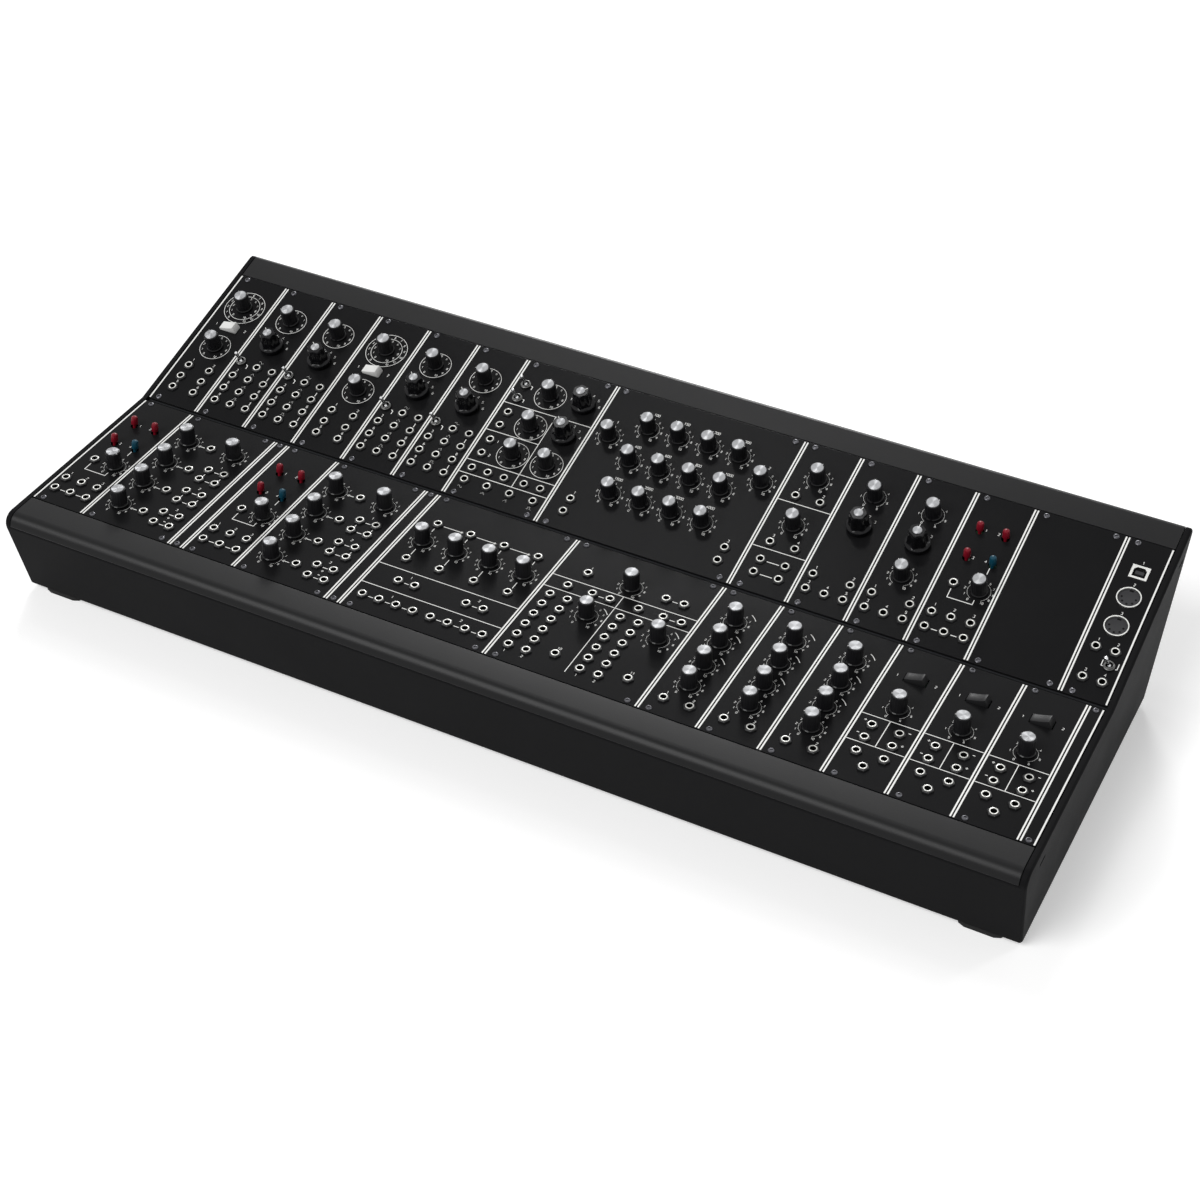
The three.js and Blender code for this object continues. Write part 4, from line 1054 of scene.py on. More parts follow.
def finishes(scene):
    """The named finishes of the synthesizer, made once."""
    tones = scene.synthesizer.finishes

    def coat(name, tone, spread, grain, roughness, bump, **named):
        tone = linear(tone) if isinstance(tone, str) else tone
        return made_once(name, grained, tone, spread, grain, roughness, bump, **named)

    return {
        # Matt powder coat: a fine orange peel that breaks up reflections on near black
        "case": coat("Matt powder coated steel", tones.case, 0.07, 0.9, 0.55, 0.05, specular=0.03),
        # Satin powder coat: the same peel, with enough gloss for a bright line along the nose
        "shell": coat("Satin powder coated steel", tones.shell, 0.07, 0.9, 0.34, 0.03, specular=0.16),
        # Lacquered aluminium sheet: even satin black with a faint grain
        "panel": coat("Black lacquered aluminium", tones.panel, 0.08, 0.6, 0.22, 0.02, specular=0.04),
        # Screen printed ink: opaque, slightly uneven white
        "ink": coat("Screen printed ink", tones.ink, 0.03, 0.5, 0.6, 0.01, specular=0.3),
        # Moulded ABS grips: deep black with a fine spark eroded grain
        "knob": coat("Moulded black ABS", tones.knob, 0.12, 0.35, 0.34, 0.02, specular=0.18),
        # Polished phenolic: glossy black that mirrors the lamps
        "gloss": coat("Polished black phenolic", "101012", 0.15, 1.2, 0.13, 0.006, specular=0.2),
        # Turned aluminium faces: a bright fan on fine rings
        "cap": made_once("Turned aluminium", turned_metal, tones.cap),
        # Nickel plate: soft grey reflections on the sockets' sleeves
        "nickel": coat("Nickel plated brass", "c6c6c2", 0.08, 0.5, 0.34, 0.01, metallic=1.0),
        # Bright nickel plate: the data sockets' shells
        "bright": coat("Bright nickel plated steel", "cfcfcc", 0.05, 0.5, 0.25, 0.01, metallic=1.0),
        # Moulded inserts of the data sockets: matt black
        "insert": coat("Moulded black nylon", "303032", 0.1, 0.4, 0.5, 0.01, specular=0.2),
        # Dull plate: the nuts of the toggles
        "plated": coat("Dull plated steel", "6d6d6c", 0.15, 0.4, 0.33, 0.015, metallic=1.0),
        # Chrome: mirror bright toggles
        "chrome": coat("Chrome plated brass", "d9dadb", 0.05, 0.8, 0.12, 0.004, metallic=1.0),
        # Blackened nuts: dark metal with a worn satin edge
        "nut": coat("Black oxide steel", "1d1d1e", 0.15, 0.4, 0.45, 0.01, specular=0.3),
        # Zinc screws under black passivate
        "screw": coat("Black passivated zinc", "56565a", 0.2, 0.4, 0.3, 0.015, metallic=0.85),
        # Painted shade: near black for the depths of the bores, the pin holes and the USB opening's
        # floor, where no light comes back
        "hollow": coat("Unlit moulded hollow", "050505", 0.2, 0.5, 0.7, 0.01, specular=0.1),
        # Moulded caps and rockers: semi gloss, colour through the material
        "red": coat("Moulded red nylon", tones.red, 0.08, 0.5, 0.3, 0.01, specular=0.2),
        "blue": coat("Moulded blue nylon", tones.blue, 0.08, 0.5, 0.3, 0.01, specular=0.2),
        "white": coat("Moulded white ABS", tones.white, 0.02, 0.4, 0.35, 0.01),
        "dark": coat("Moulded charcoal ABS", tones.dark, 0.08, 0.4, 0.42, 0.01, specular=0.15),
        # Extruded rails: black anodised, dark in the gap between the rows
        "rail": coat("Anodised aluminium", "2c2d2f", 0.06, 0.8, 0.4, 0.01, specular=0.15),
        # Glass epoxy board under green mask
        "board": coat("Solder masked board", "17452b", 0.3, 0.7, 0.35, 0.02),
        # Rubber: matt black with a dusty bloom
        "rubber": coat("Moulded rubber", "161616", 0.25, 0.6, 0.85, 0.03, specular=0.3),
    }


# Operators


class Fitting:
    """What the operators share: each fits its pieces with the settings and the finishes."""

    def execute(self, context):
        self.fit(context.scene.synthesizer, finishes(context.scene))
        return {"FINISHED"}


class SYNTH_OT_case(Fitting, Operator):
    """Round the case's edges and give case, rails, feet and boards their finishes"""

    bl_idname = "synth.case"
    bl_label = "Case and rails"

    def fit(self, settings, looks):
        for node, look, width in (
            ("case_tub", "case", 0.5), ("front_shell", "shell", 0.4), ("rear_shell", "shell", 0.4),
        ):
            made = softened(node, node + "_painted", looks[look], width * MM)
            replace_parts(dress(made), node)
        for corner in ("front_left", "front_right", "rear_left", "rear_right"):
            node = "foot_" + corner
            made = softened(node, node + "_rubber", looks["rubber"], 0.6 * MM, 3)
            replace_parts(dress(made), node)
        for node in ("rail_lower_front", "rail_lower_rear", "rail_upper_front", "rail_upper_rear"):
            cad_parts[node].data.materials[0] = looks["rail"]
        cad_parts["supply_board"].data.materials[0] = looks["board"]
        made = softened("power_entry", "power_entry_moulding", looks["dark"], 0.25 * MM)
        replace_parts(dress(made), "power_entry")
        made = softened("power_switch", "power_switch_rocker", looks["dark"], 0.3 * MM)
        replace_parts(dress(made, "power_switch_body"), "power_switch")


class SYNTH_OT_panels(Fitting, Operator):
    """Make every panel with its cutouts, and keep the circuit board behind it"""

    bl_idname = "synth.panels"
    bl_label = "Panels and boards"

    def fit(self, settings, looks):
        rows = settings.rows
        for name, kind, width, base in modules(rows):
            made = self.panel(rows, name, kind, width, base, looks["panel"])
            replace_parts(dress(made), name)
            if kind != "blank":
                dress(self.board(rows, name, base, looks["board"]))

    def panel(self, rows, name, kind, width, base, material):
        """A panel cut from one flat curve with a hole for each control."""
        side, soft = rows.gap / 2, rows.softening
        loops = [[(side, 0), (width - side, 0), (width - side, rows.height), (side, rows.height)]]
        for control in (*ROUND_HOLES, *SQUARE_HOLES):
            for across, up in KINDS[kind].get(control, []):
                loops.append(self.hole(control, across * width, up * rows.height))
        curve = bpy.data.curves.new(name, "CURVE")
        curve.dimensions = "2D"
        curve.fill_mode = "BOTH"
        curve.extrude = rows.thickness / 2 - soft
        curve.bevel_depth = soft
        curve.bevel_resolution = 1
        curve.offset = -soft
        for loop in loops:
            spline = curve.splines.new("POLY")
            spline.points.add(len(loop) - 1)
            spline.points.foreach_set("co", [c for u, v in loop for c in (u, v, 0, 1)])
            spline.use_cyclic_u = True
        mesh = applied(linked(name, curve))
        mesh.transform(base @ Matrix.Translation((0, 0, -rows.thickness / 2)))
        with editing(mesh) as edit:
            bmesh.ops.recalc_face_normals(edit, faces=edit.faces)
        return put(name + "_panel", mesh, material, 12)

    def hole(self, control, u, v):
        """The outline of the hole for a control at a place."""
        if control in ROUND_HOLES:
            return circle(ROUND_HOLES[control] * MM, (u, v), steps=20)
        half_u, half_v = (half * MM for half in SQUARE_HOLES[control])
        return [
            (u - half_u, v - half_v), (u + half_u, v - half_v), (u + half_u, v + half_v),
            (u - half_u, v + half_v),
        ]

    def board(self, rows, name, base, material):
        """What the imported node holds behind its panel."""
        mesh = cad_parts[name].data.copy()
        behind = base @ Vector((0, 0, -rows.thickness - 0.05 * MM))
        facing = (base.to_3x3() @ OUT).normalized()
        with editing(mesh) as edit:
            cut = bmesh.ops.bisect_plane(
                edit, geom=edit.verts[:] + edit.edges[:] + edit.faces[:], plane_co=behind,
                plane_no=facing, clear_outer=True,
            )
            rim = [item for item in cut["geom_cut"] if isinstance(item, bmesh.types.BMEdge)]
            bmesh.ops.triangle_fill(edit, use_beauty=True, edges=rim, normal=facing)
        return put(name + "_board", mesh, material)


class SYNTH_OT_print(Fitting, Operator):
    """Print the lines, scales, plain numbers and marks on the panels"""

    bl_idname = "synth.print"
    bl_label = "Print"

    def fit(self, settings, looks):
        self.ink = settings.ink
        for name, kind, width, base in modules(settings.rows):
            self.sheet = Shape()
            self.side_lines(width, settings.rows.height)
            self.marks(PRINT.get(kind, {}), KINDS[kind], width, settings.rows.height)
            dress(make_object(name + "_print", self.sheet.moved(base), looks["ink"]))

    def line(self, points, width=None, closed=False):
        self.sheet.join(stroke(points, width or self.ink.line_width, self.ink.rise, closed))

    def side_lines(self, width, height):
        inset, ends = self.ink.side_inset, self.ink.side_ends
        for u in (inset, width - inset):
            self.line([(u, ends), (u, height - ends)], self.ink.side_width)

    def number(self, text, u, v, size=None):
        """A plain number centred on a place."""
        size = size or self.ink.number_height
        advance = DIGIT_ADVANCE_SHARE * size
        start = u - (advance * (len(text) - 1) + DIGIT_WIDTH_SHARE * size) / 2
        for place, digit in enumerate(text):
            left = start + place * advance
            at = [(left + x * size, v + (y - 0.5) * size) for x, y in DIGITS[digit]]
            self.line(at, DIGIT_STROKE_SHARE * size)

    def arc(self, centre, radius, start, sweep, width=None):
        points = circle(radius, centre, start, sweep, max(8, round(abs(sweep) / 7)))
        self.line(points, width or self.ink.fine_width, sweep >= 360)

    def spoke(self, centre, angle, inner, outer):
        way = Vector((math.cos(math.radians(angle)), math.sin(math.radians(angle))))
        middle = Vector(centre)
        self.line([middle + way * inner, middle + way * outer], self.ink.fine_width)

    def numbers_round(self, centre, radius, count):
        """Numbers from low to high round a knob, clockwise."""
        for i in range(count):
            degrees = SCALE_END + SCALE_SWEEP - SCALE_SWEEP * i / (count - 1)
            self.number(str(i), *self.out_from(centre, radius, degrees), self.ink.scale_height)

    def out_from(self, centre, radius, degrees):
        """The place at a distance in millimetres from a centre, in a direction."""
        at = math.radians(degrees)
        return centre[0] + radius * MM * math.cos(at), centre[1] + radius * MM * math.sin(at)

    def ring(self, centre, radius, numbers_radius, count):
        """A full ring with numbers inside it."""
        self.arc(centre, radius * MM, 0, 360, self.ink.ring_width)
        self.numbers_round(centre, numbers_radius, count)

    def dial(self, style, centre):
        """The scale round one knob."""
        if style in ("ring", "double"):
            self.ring(centre, RING, RING_NUMBERS, 11)
        if style == "double":
            self.ring(centre, OUTER_RING, OUTER_NUMBERS, 13)
            for angle in RING_SPOKE_ANGLES:
                self.spoke(centre, angle, *(reach * MM for reach in RING_SPOKES))
        if style in ("scale", "seven", "wide", "timed"):
            count = 7 if style == "seven" else 11
            inner, outer = (reach * MM for reach in TICKS)
            self.arc(centre, inner, SCALE_END, SCALE_SWEEP)
            self.numbers_round(centre, WIDE_NUMBERS if style == "wide" else TICK_NUMBERS, count)
            for i in range(count):
                self.spoke(centre, SCALE_END + SCALE_SWEEP * i / (count - 1), inner, outer)
        if style in ("wide", "timed"):
            radius, start, sweep = TIME_ARC
            self.arc(centre, radius * MM, start, sweep, self.ink.line_width)

    def arrow(self, tail, head):
        """A line with a small barbed head."""
        head, tail = Vector(head) * MM, Vector(tail) * MM
        way = (head - tail).normalized()
        side = Vector((-way.y, way.x)) * ARROW_HALF * MM
        self.line([tail, head])
        back = head - way * ARROW_LENGTH * MM
        self.line([back + side, head, back - side])

    def marks(self, marks, places, width, height):
        """All marks of one kind of panel."""
        spots = {
            control: [(across * width, up * height) for across, up in found]
            for control, found in places.items()
        }
        knobs = spots.get("knobs", [])
        sockets = [Vector(spot) for spot in spots.get("sockets", [])]
        for style, centre in zip(marks.get("dials", []), knobs):
            self.dial(style, centre)
        for text, (u, v) in zip(marks.get("knob_numbers", []), knobs):
            self.number(text, u, v + KNOB_NUMBER_RISE * MM)
        for first, second in marks.get("links", []):
            self.link(sockets[first], sockets[second])
        for index in marks.get("numbered", []):
            spot = sockets[index]
            self.number(str(index + 1), spot.x, spot.y + SOCKET_NUMBER_RISE * MM)
        for text, u, v in marks.get("numbers", []):
            self.number(text, u * MM, v * MM)
        for points in marks.get("lines", []):
            self.line(metric(points))
        for tail, head in marks.get("arrows", []):
            self.arrow(tail, head)
        for wave, u, v in marks.get("waves", []):
            self.wave(wave, u * MM, v * MM)
        for sign, u, v in marks.get("signs", []):
            self.line(metric([(u - SIGN_HALF, v), (u + SIGN_HALF, v)]))
            if sign == "plus":
                self.line(metric([(u, v - SIGN_HALF), (u, v + SIGN_HALF)]))
        for spot, steps in zip(spots.get("selectors", []), marks.get("steps", [])):
            for number, degrees in enumerate(steps, 1):
                self.number(str(number), *self.out_from(spot, STEP_NUMBERS, degrees))

    def link(self, first, second):
        """A line between two sockets."""
        way = (second - first).normalized() * LINK_END * MM
        if (second - first).length > LINK_LEAST_SHARE * way.length:
            self.line([first + way, second - way])
        else:
            middle = (first + second) / 2
            self.line([middle - way * SHORT_LINK_SHARE, middle + way * SHORT_LINK_SHARE])

    def wave(self, wave, u, v):
        width, height = WAVE_WIDTH * MM, WAVE_HEIGHT * MM
        points = [(u + x * width, v + (y - 0.5) * height) for x, y in WAVES[wave]]
        self.line(points, self.ink.fine_width)


class SYNTH_OT_screws(Fitting, Operator):
    """Fasten every panel with button head screws"""

    bl_idname = "synth.screws"
    bl_label = "Panel screws"

    def fit(self, settings, looks):
        sizes, rows = settings.sockets, settings.rows
        places = []
        for _, _, width, base in modules(rows):
            columns = [sizes.screw_column]
            if width > WIDE_UNITS * rows.pitch:
                columns.append(width - sizes.screw_column)
            if width < NARROW_UNITS * rows.pitch:
                columns = [width / 2]
            for u in columns:
                for v in (sizes.screw_inset, rows.height - sizes.screw_inset):
                    places.append(base @ Matrix.Translation((u, v, 0)))
        reach, rise = sizes.screw_radius, sizes.screw_rise
        head = [
            (reach, CLEAR * MM), (0.92 * reach, 0.6 * rise), (0.62 * reach, rise),
            (0.5 * reach, rise), (0.4 * reach, 0.3 * rise), (0, 0.25 * rise),
        ]
        dress(repeated("panel_screws", turned(head, 16), places, looks["screw"]))


class SYNTH_OT_sockets(Fitting, Operator):
    """Fit the patch sockets: ring nut, bright sleeve and a bore in painted shade"""

    bl_idname = "synth.sockets"
    bl_label = "Patch sockets"

    def fit(self, settings, looks):
        sizes = settings.sockets
        places = [place for _, place, *_ in controls(settings.rows, "sockets")]
        nut, ring, bore = sizes.nut_radius, sizes.ring_radius, sizes.bore_radius
        low, high = sizes.nut_height, sizes.ring_height
        deep = -SOCKET_DEPTH * MM
        sleeve = [
            (ring, 0.5 * low), (ring, 0.86 * high), (ring - 0.12 * MM, 0.96 * high),
            (ring - 0.35 * MM, high), (bore + 0.3 * MM, high), (bore + 0.08 * MM, 0.93 * high),
            (bore, 0.8 * high),
        ]
        for word, look, profile, sides in (
            ("nuts", "nut", [(nut, CLEAR * MM), (nut, 0.7 * low), (0.9 * nut, low), (ring, low)], 6),
            ("sleeves", "nickel", sleeve, 18),
            # The bores take painted shade: near black for the dark inside a socket
            ("bores", "hollow", [(bore, 0.8 * high), (bore, deep), (0, deep)], 12),
        ):
            made = repeated("socket_" + word, turned(profile, sides), places, looks[look])
            dress(made)


class SYNTH_OT_knobs(Fitting, Operator):
    """Fit the rotary knobs: bushing, ribbed grip, polished flange, turned cap and painted pointer line
    """

    bl_idname = "synth.knobs"
    bl_label = "Rotary knobs"

    def fit(self, settings, looks):
        sizes = settings.knobs
        every = [place for _, place, *_ in controls(settings.rows, "knobs")]
        bushing = turned(metric(BUSHING), 20)
        dress(repeated("knob_bushings", bushing, every, looks["nut"]))
        cap = self.cap(sizes.cap_radius, sizes.top - 1.0 * MM, sizes.top)
        parts = [
            ("grip", self.grip(sizes), looks["knob"]),
            ("flange", self.flange(sizes), looks["gloss"]),
            ("cap", cap, looks["cap"], map_turning),
            ("pointer", self.pointer(sizes), looks["ink"]),
        ]
        fit_parts("knob", parts, turned_spots(settings.rows, "knobs"))

    def grip(self, sizes):
        """The grip, with ribs that fade out at its foot and shoulder."""
        ribs, foot, top = sizes.ribs, sizes.foot, sizes.top
        depth = sizes.rib_depth / sizes.radius
        levels = [
            (3.0 * MM, -0.4 * MM, 0), (3.0 * MM, foot + 0.4 * MM, 0),
            (sizes.radius - 0.7 * MM, foot + 0.4 * MM, 0),
            (sizes.radius - 0.55 * MM, foot + 1.3 * MM, 0),
            (sizes.radius - 0.55 * MM, foot + 1.9 * MM, 1),
            (sizes.top_radius + 0.05 * MM, top - 1.5 * MM, 1),
            (sizes.top_radius - 0.3 * MM, top - 0.7 * MM, 0.2),
            (sizes.cap_radius + 0.02 * MM, top - 0.5 * MM, 0),
            (sizes.cap_radius - 0.3 * MM, top - 0.55 * MM, 0),
        ]
        return fluted(
            levels, ribs * 4,
            lambda angle, share: (
                (1 - 0.5 * depth * share) - 0.5 * depth * share * math.cos(ribs * angle)
            ),
        )

    def flange(self, sizes):
        """The polished flange at the grip's foot, whose bevel catches the light."""
        foot, radius = sizes.foot, sizes.radius
        return turned(
            [(3.1 * MM, foot + 0.3 * MM), (3.1 * MM, foot), (radius - 0.15 * MM, foot),
             (radius, foot + 0.2 * MM), (radius, foot + 0.55 * MM), (radius - 0.5 * MM, foot + 1.1 * MM),
             (radius - 0.75 * MM, foot + 1.15 * MM)], 40,
        )

    def cap(self, radius, low, high):
        return turned(
            [(radius, low), (radius, high - 0.25 * MM), (radius - 0.25 * MM, high),
             (0.5 * radius, high - 0.06 * MM), (0, high - 0.1 * MM)], 32,
        )

    def pointer(self, sizes):
        """The painted line at the edge of the cap, down the grip's shoulder."""
        half = 0.15 * MM
        high, low = sizes.top - 0.1 * MM, sizes.top - 1.6 * MM
        near, far = sizes.cap_radius + 0.02 * MM, sizes.top_radius - 0.3 * MM
        return block((near, -half, low), (far, half, high - 0.35 * MM))


class SYNTH_OT_selectors(Fitting, Operator):
    """Fit the lobed step selectors"""

    bl_idname = "synth.selectors"
    bl_label = "Step selectors"

    def fit(self, settings, looks):
        sizes = settings.knobs
        radius, low, high = sizes.selector_cap, sizes.selector_body, sizes.selector_top
        cap = turned(
            [(radius, low), (radius, high - 0.3 * MM), (radius - 0.3 * MM, high),
             (0, high - 0.08 * MM)], 32,
        )
        line = block(
            (radius + 0.05 * MM, -0.2 * MM, low - 0.1 * MM),
            (sizes.selector_shoulder - 0.6 * MM, 0.2 * MM, low + 0.06 * MM),
        )
        parts = [
            ("body", self.body(sizes), looks["gloss"]),
            ("cap", cap, looks["cap"], map_turning),
            ("pointer", line, looks["ink"]),
        ]
        fit_parts("selector", parts, turned_spots(settings.rows, "selectors"))

    def body(self, sizes):
        """Six lobes that rise out of a round skirt and fade into the top."""
        foot, top = 1.0 * MM, sizes.selector_body
        skirt, wide, narrow = sizes.selector_skirt, sizes.selector_foot, sizes.selector_shoulder
        levels = [
            (3.0 * MM, -0.4 * MM, 0), (3.0 * MM, foot, 0), (skirt - 0.2 * MM, foot, 0),
            (skirt, foot + 0.3 * MM, 0), (skirt, 3.8 * MM, 0), (skirt - 0.12 * MM, 4.0 * MM, 0),
            (wide + 0.35 * MM, 4.25 * MM, 0.2), (wide + 0.1 * MM, 4.6 * MM, 0.9),
            (wide - 0.1 * MM, 6.2 * MM, 1), (narrow + 0.15 * MM, top - 1.6 * MM, 1),
            (narrow - 0.1 * MM, top - 0.6 * MM, 0.9), (narrow - 0.6 * MM, top, 0.6),
            (sizes.selector_cap + 0.3 * MM, top, 0), (sizes.selector_cap - 0.4 * MM, top, 0),
        ]
        return fluted(
            levels, 72, lambda angle, share: 1 - 0.065 * share * (1 - math.cos(6 * angle)),
        )


class SYNTH_OT_toggles(Fitting, Operator):
    """Fit the mini toggles in their nuts"""

    bl_idname = "synth.toggles"
    bl_label = "Mini toggles"

    def fit(self, settings, looks):
        sizes = settings.switches
        found = controls(settings.rows, "toggles")
        nut = turned(metric(TOGGLE_NUT), 18)
        places = [place for _, place, *_ in found]
        dress(repeated("toggle_nuts", nut, places, looks["plated"]))
        reach = sizes.toggle_reach
        bat = turned(
            [(0, -1.6 * MM), (1.2 * MM, -1.2 * MM), (1.6 * MM, 0), (1.3 * MM, 0.9 * MM),
             (0.85 * MM, 1.5 * MM), (0.95 * MM, 3.0 * MM), (1.3 * MM, reach - 1.6 * MM),
             (1.3 * MM, reach - 0.9 * MM), (1.0 * MM, reach - 0.3 * MM),
             (0.5 * MM, reach - 0.05 * MM), (0, reach)], 16,
        )
        lean = leaned(sizes.toggle_pivot, sizes.toggle_lean, "Y")
        spots = [(mover, place @ lean) for mover, place, *_ in found]
        fit_parts("toggle", [("bat", bat, looks["chrome"])], spots)


class SYNTH_OT_levers(Fitting, Operator):
    """Fit the red and blue capped levers"""

    bl_idname = "synth.levers"
    bl_label = "Capped levers"

    def fit(self, settings, looks):
        sizes = settings.switches
        found = controls(settings.rows, "levers")
        reach, wide, sides = sizes.lever_reach, sizes.lever_cap, 18
        cap = turned(
            [(1.15 * MM, -1.5 * MM), (1.15 * MM, 1.9 * MM), (wide - 0.15 * MM, 1.9 * MM),
             (wide, 2.2 * MM), (wide - 0.1 * MM, reach - 1.7 * MM),
             (0.82 * wide, reach - 0.75 * MM), (0.5 * wide, reach - 0.2 * MM), (0, reach)], sides,
        )
        cap.faces.append(list(range(sides))[::-1])
        lean = leaned(-sizes.lever_pivot, sizes.lever_lean, "X")
        for look, slot, numbers in (("red", "cap_red", (0, 1, 2)), ("blue", "cap_blue", (3,))):
            spots = [(mover, place @ lean) for mover, place, _, _, number in found if number in numbers]
            fit_parts(look + "_lever", [("cap", cap, looks[look])], spots)


class SYNTH_OT_rockers(Fitting, Operator):
    """Fit the white and charcoal rockers"""

    bl_idname = "synth.rockers"
    bl_label = "Rockers"

    def fit(self, settings, looks):
        sizes = settings.switches
        found = controls(settings.rows, "rockers")
        body = self.rocker(sizes)
        lean = leaned(-sizes.rocker_pivot, sizes.rocker_tilt, "Y")
        for look, slot, kind in (
            ("white", "switch_white", "driver"), ("dark", "switch_black", "amplifier"),
        ):
            spots = [(mover, place @ lean) for mover, place, _, where, _ in found if where == kind]
            fit_parts(look + "_rocker", [("body", body, looks[look])], spots)

    def rocker(self, sizes):
        """A rocker with rounded edges and a hollowed top face."""
        half, foot, rise = sizes.rocker_half, sizes.rocker_foot, sizes.rocker_rise
        outline = [(-2.5 * MM, -3.2 * MM), (2.5 * MM, -3.2 * MM), (foot, -1.2 * MM), (half, rise)]
        steps = 6
        for i in range(1, steps):
            u = half - 2 * half * i / steps
            outline.append((u, rise - 0.35 * MM * (1 - (u / half) ** 2)))
        outline += [(-half, rise), (-foot, -1.2 * MM)]
        side = sizes.rocker_width / 2
        count = len(outline)
        shape = Shape().add([(u, v, w) for v in (-side, side) for u, w in outline], [])
        shape.faces = [list(range(count)), [count + i for i in range(count)][::-1]]
        shape.band(count, 0, count)
        edit = bmesh.new()
        verts = [edit.verts.new(p) for p in shape.points]
        for face in shape.faces:
            edit.faces.new([verts[i] for i in face])
        bmesh.ops.recalc_face_normals(edit, faces=edit.faces)
        sharp = [e for e in edit.edges if e.calc_face_angle(0) > math.radians(30)]
        bmesh.ops.bevel(edit, geom=sharp, offset=0.35 * MM, segments=2, profile=0.5, affect="EDGES")
        edit.verts.index_update()
        faces = [[v.index for v in face.verts] for face in edit.faces]
        made = Shape().add([v.co.copy() for v in edit.verts], faces)
        edit.free()
        return made


class SYNTH_OT_converter(Fitting, Operator):
    """Fit the note converter's square and round data sockets"""

    bl_idname = "synth.converter"
    bl_label = "Data sockets"

    def fit(self, settings, looks):
        square, round_places = (
            [place for _, place, *_ in controls(settings.rows, control)]
            for control in ("usb_sockets", "din_sockets")
        )
        half_u, half_v = USB_HALF
        outer = [(-half_u, -half_v), (half_u, -half_v), (half_u, half_v), (-half_u, half_v)]
        shell = self.frame_of(outer, USB_OPENING, CLEAR, USB_RISE, BEHIND)
        holes = Shape()
        for u, v in circle(DIN_PIN_CIRCLE * MM, start=180, sweep=180, steps=4):
            holes.join(turned(metric(DIN_HOLE), 12), Matrix.Translation((u, v, 0)))
        holes.join(block(*metric(DIN_KEYWAY)))
        for name, shape, places, look in (
            ("usb_shell", shell, square, "bright"),
            # The floor of the USB opening is a plate in painted shade, near black, standing in for the
            # unlit depth
            ("usb_floor", block(*metric(USB_FLOOR)), square, "hollow"),
            ("usb_tongue", block(*metric(USB_TONGUE)), square, "insert"),
            ("din_rims", turned(metric(DIN_RIM), 40), round_places, "bright"),
            ("din_inserts", turned(metric(DIN_INSERT), 40), round_places, "insert"),
            # The pin holes and keyway take painted shade, near black
            ("din_holes", holes, round_places, "hollow"),
        ):
            dress(repeated(name, shape, places, looks[look]))

    def frame_of(self, outer, inner, low, high, deep):
        """A plate with an opening, and the opening's wall down behind the panel."""
        ring = [self.ray(outer, math.atan2(v, u)) for u, v in inner]
        corners = sorted(set(ring + outer), key=lambda p: math.atan2(p[1], p[0]))
        inside = [self.ray(inner, math.atan2(v, u)) for u, v in corners]
        count = len(corners)
        shape = Shape()
        for loop, height in ((corners, low), (corners, high), (inside, high), (inside, deep)):
            shape.add([(u * MM, v * MM, height * MM) for u, v in loop], [])
        for step in range(3):
            shape.band(step * count, (step + 1) * count, count)
        return shape

    def ray(self, loop, angle):
        """Where a ray from the middle leaves a convex loop."""
        way = Vector((math.cos(angle), math.sin(angle)))
        best = None
        for (u0, v0), (u1, v1) in zip(loop, loop[1:] + loop[:1]):
            edge = Vector((u1 - u0, v1 - v0))
            cross = way.x * edge.y - way.y * edge.x
            if abs(cross) < 1e-9:
                continue
            reach = (u0 * edge.y - v0 * edge.x) / cross
            share = (u0 * way.y - v0 * way.x) / cross
            if reach > 0 and -1e-6 <= share <= 1 + 1e-6:
                best = reach if best is None else min(best, reach)
        return way.x * best, way.y * best


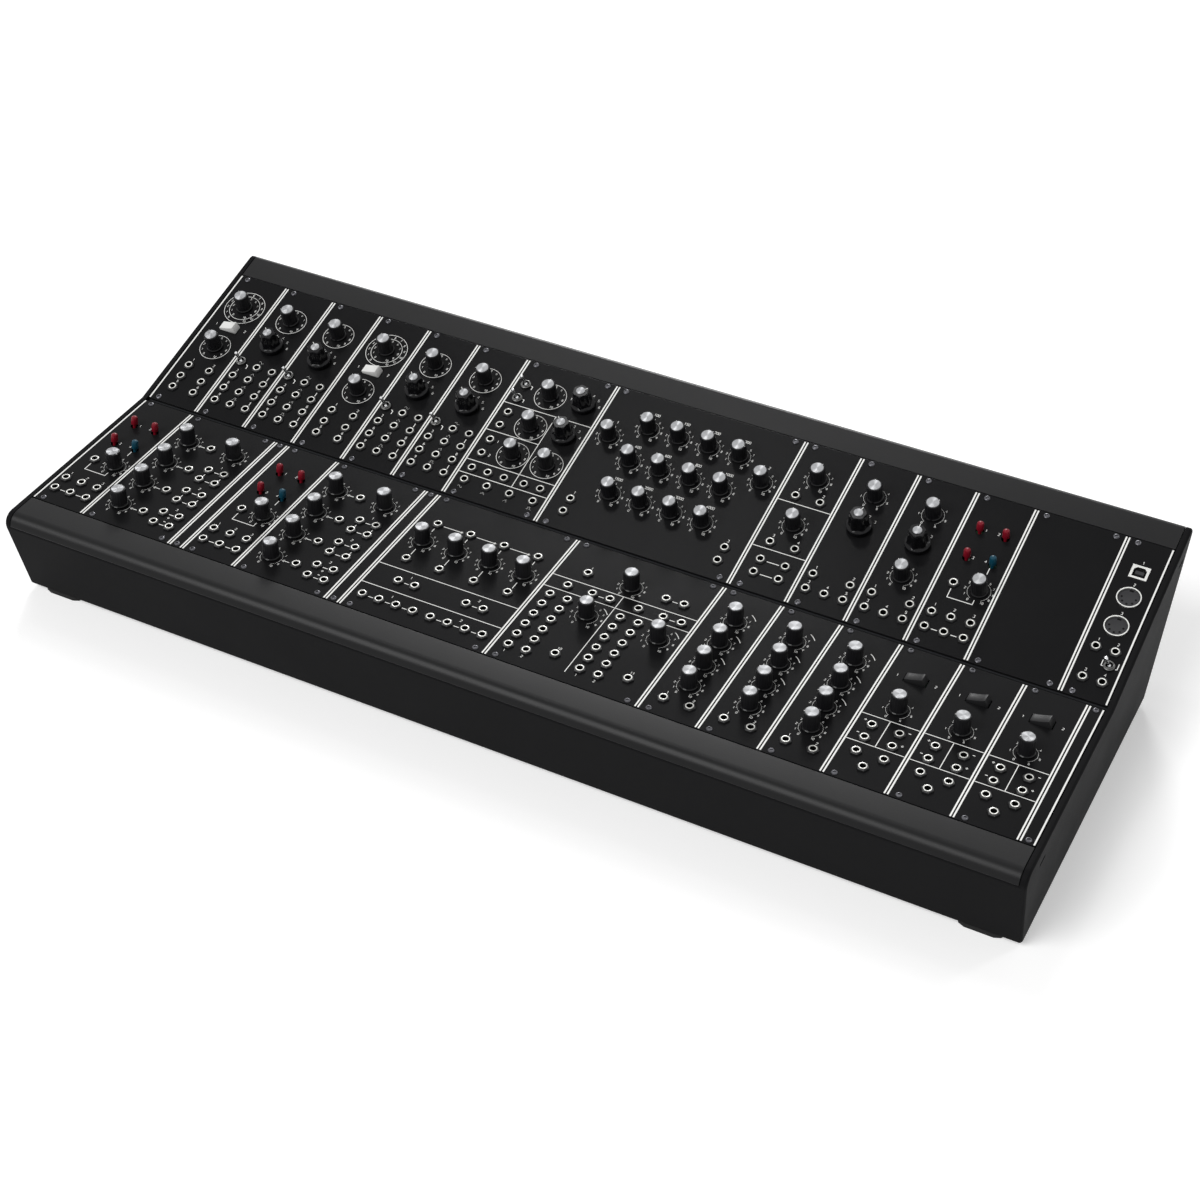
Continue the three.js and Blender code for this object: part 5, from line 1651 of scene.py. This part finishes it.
class SYNTH_OT_stage(Fitting, Operator):
    """Set the pale floor, the soft light and the camera"""

    bl_idname = "synth.stage"
    bl_label = "Stage"

    def fit(self, settings, looks):
        stage, scene = settings.stage, bpy.context.scene
        half = FLOOR_HALF
        corners = [(-half, -half, 0), (half, -half, 0), (half, half, 0), (-half, half, 0)]
        floor = make_object("floor", Shape().add(corners, [(0, 1, 2, 3)]), self.paper())
        self.sky(scene, stage)
        for name, setting, share, spread, place in LAMPS:
            lamp = linked(name, bpy.data.lights.new(name, "SUN"))
            lamp.data.energy = share * getattr(stage, setting)
            lamp.data.angle = math.radians(spread)
            lamp.rotation_euler = Vector(place).to_track_quat("Z", "Y").to_euler()
        camera = linked("camera", bpy.data.cameras.new("camera"))
        camera.data.lens = stage.lens
        camera.data.sensor_width = 36
        camera.data.clip_start = 0.05
        camera.location = stage.camera_place
        camera.rotation_euler = stage.camera_turn
        scene.camera = camera
        scene.view_settings.view_transform = "Standard"

    def paper(self):
        """Matt white paper: white to the camera away from the object's shadow."""
        made, tree, shader, place = start_material("Matt white paper")
        fibre = add_node(tree, "ShaderNodeTexNoise", Vector=place, Scale=400.0, Detail=2.0)
        relief = add_node(
            tree, "ShaderNodeBump", Height=fibre.outputs["Fac"], Distance=0.0001, Strength=0.2,
        )
        fill(
            tree, shader, Normal=relief.outputs["Normal"], Base_Color=(0.9, 0.9, 0.9, 1),
            Roughness=0.9, Specular_IOR_Level=0.0,
        )
        glow = add_node(tree, "ShaderNodeEmission", Strength=0.35)
        bright = add_node(
            tree, "ShaderNodeAddShader", _0=shader.outputs["BSDF"], _1=glow.outputs["Emission"],
        )
        mix = add_node(
            tree, "ShaderNodeMixShader", Fac=self.seen(tree), _1=shader.outputs["BSDF"],
            _2=bright.outputs["Shader"],
        )
        out = next(n for n in tree.nodes if n.bl_idname == "ShaderNodeOutputMaterial")
        fill(tree, out, Surface=mix.outputs["Shader"])
        return made

    def seen(self, tree):
        """One where the camera, a mirror or a glass looks at the background."""
        path = add_node(tree, "ShaderNodeLightPath")
        found = path.outputs["Is Camera Ray"]
        for ray in ("Is Glossy Ray", "Is Transmission Ray"):
            found = add_node(
                tree, "ShaderNodeMath", {"operation": "MAXIMUM"}, _0=found, _1=path.outputs[ray],
            ).outputs[0]
        return found

    def sky(self, scene, stage):
        """Even light, which is plain white where it is seen."""
        world = bpy.data.worlds.new("studio")
        scene.world = world
        world.use_nodes = True
        tree = world.node_tree
        tree.nodes.clear()
        even, white = (
            add_node(tree, "ShaderNodeBackground", Color=(1, 1, 1, 1), Strength=strength)
            for strength in (stage.sky, 1.0)
        )
        mix = add_node(
            tree, "ShaderNodeMixShader", Fac=self.seen(tree), _1=even.outputs["Background"],
            _2=white.outputs["Background"],
        )
        add_node(tree, "ShaderNodeOutputWorld", Surface=mix.outputs["Shader"])


class SYNTH_PT_sidebar(Panel):
    """Lists the synthesizer's operators."""

    bl_label = "Synthesizer"
    bl_idname = "SYNTH_PT_sidebar"
    bl_space_type = "VIEW_3D"
    bl_region_type = "UI"
    bl_category = "Synthesizer"

    def draw(self, context):
        for operator in OPERATORS:
            self.layout.operator(operator.bl_idname)


GROUPS = (
    RowSizes, KnobSizes, SwitchSizes, SocketSizes, PrintSizes, Finishes, StageSizes, Synthesizer,
)
OPERATORS = (
    SYNTH_OT_case, SYNTH_OT_panels, SYNTH_OT_print, SYNTH_OT_screws, SYNTH_OT_sockets,
    SYNTH_OT_knobs, SYNTH_OT_selectors, SYNTH_OT_toggles, SYNTH_OT_levers, SYNTH_OT_rockers,
    SYNTH_OT_converter, SYNTH_OT_stage,
)


def register():
    for item in (*GROUPS, *OPERATORS, SYNTH_PT_sidebar):
        bpy.utils.register_class(item)
    bpy.types.Scene.synthesizer = PointerProperty(type=Synthesizer)


def unregister():
    del bpy.types.Scene.synthesizer
    for item in reversed((*GROUPS, *OPERATORS, SYNTH_PT_sidebar)):
        bpy.utils.unregister_class(item)


def main():
    register()
    bpy.ops.synth.case()
    bpy.ops.synth.panels()
    bpy.ops.synth.print()
    bpy.ops.synth.screws()
    bpy.ops.synth.sockets()
    bpy.ops.synth.knobs()
    bpy.ops.synth.selectors()
    bpy.ops.synth.toggles()
    bpy.ops.synth.levers()
    bpy.ops.synth.rockers()
    bpy.ops.synth.converter()
    bpy.ops.synth.stage()


if __name__ == "__main__":
    main()
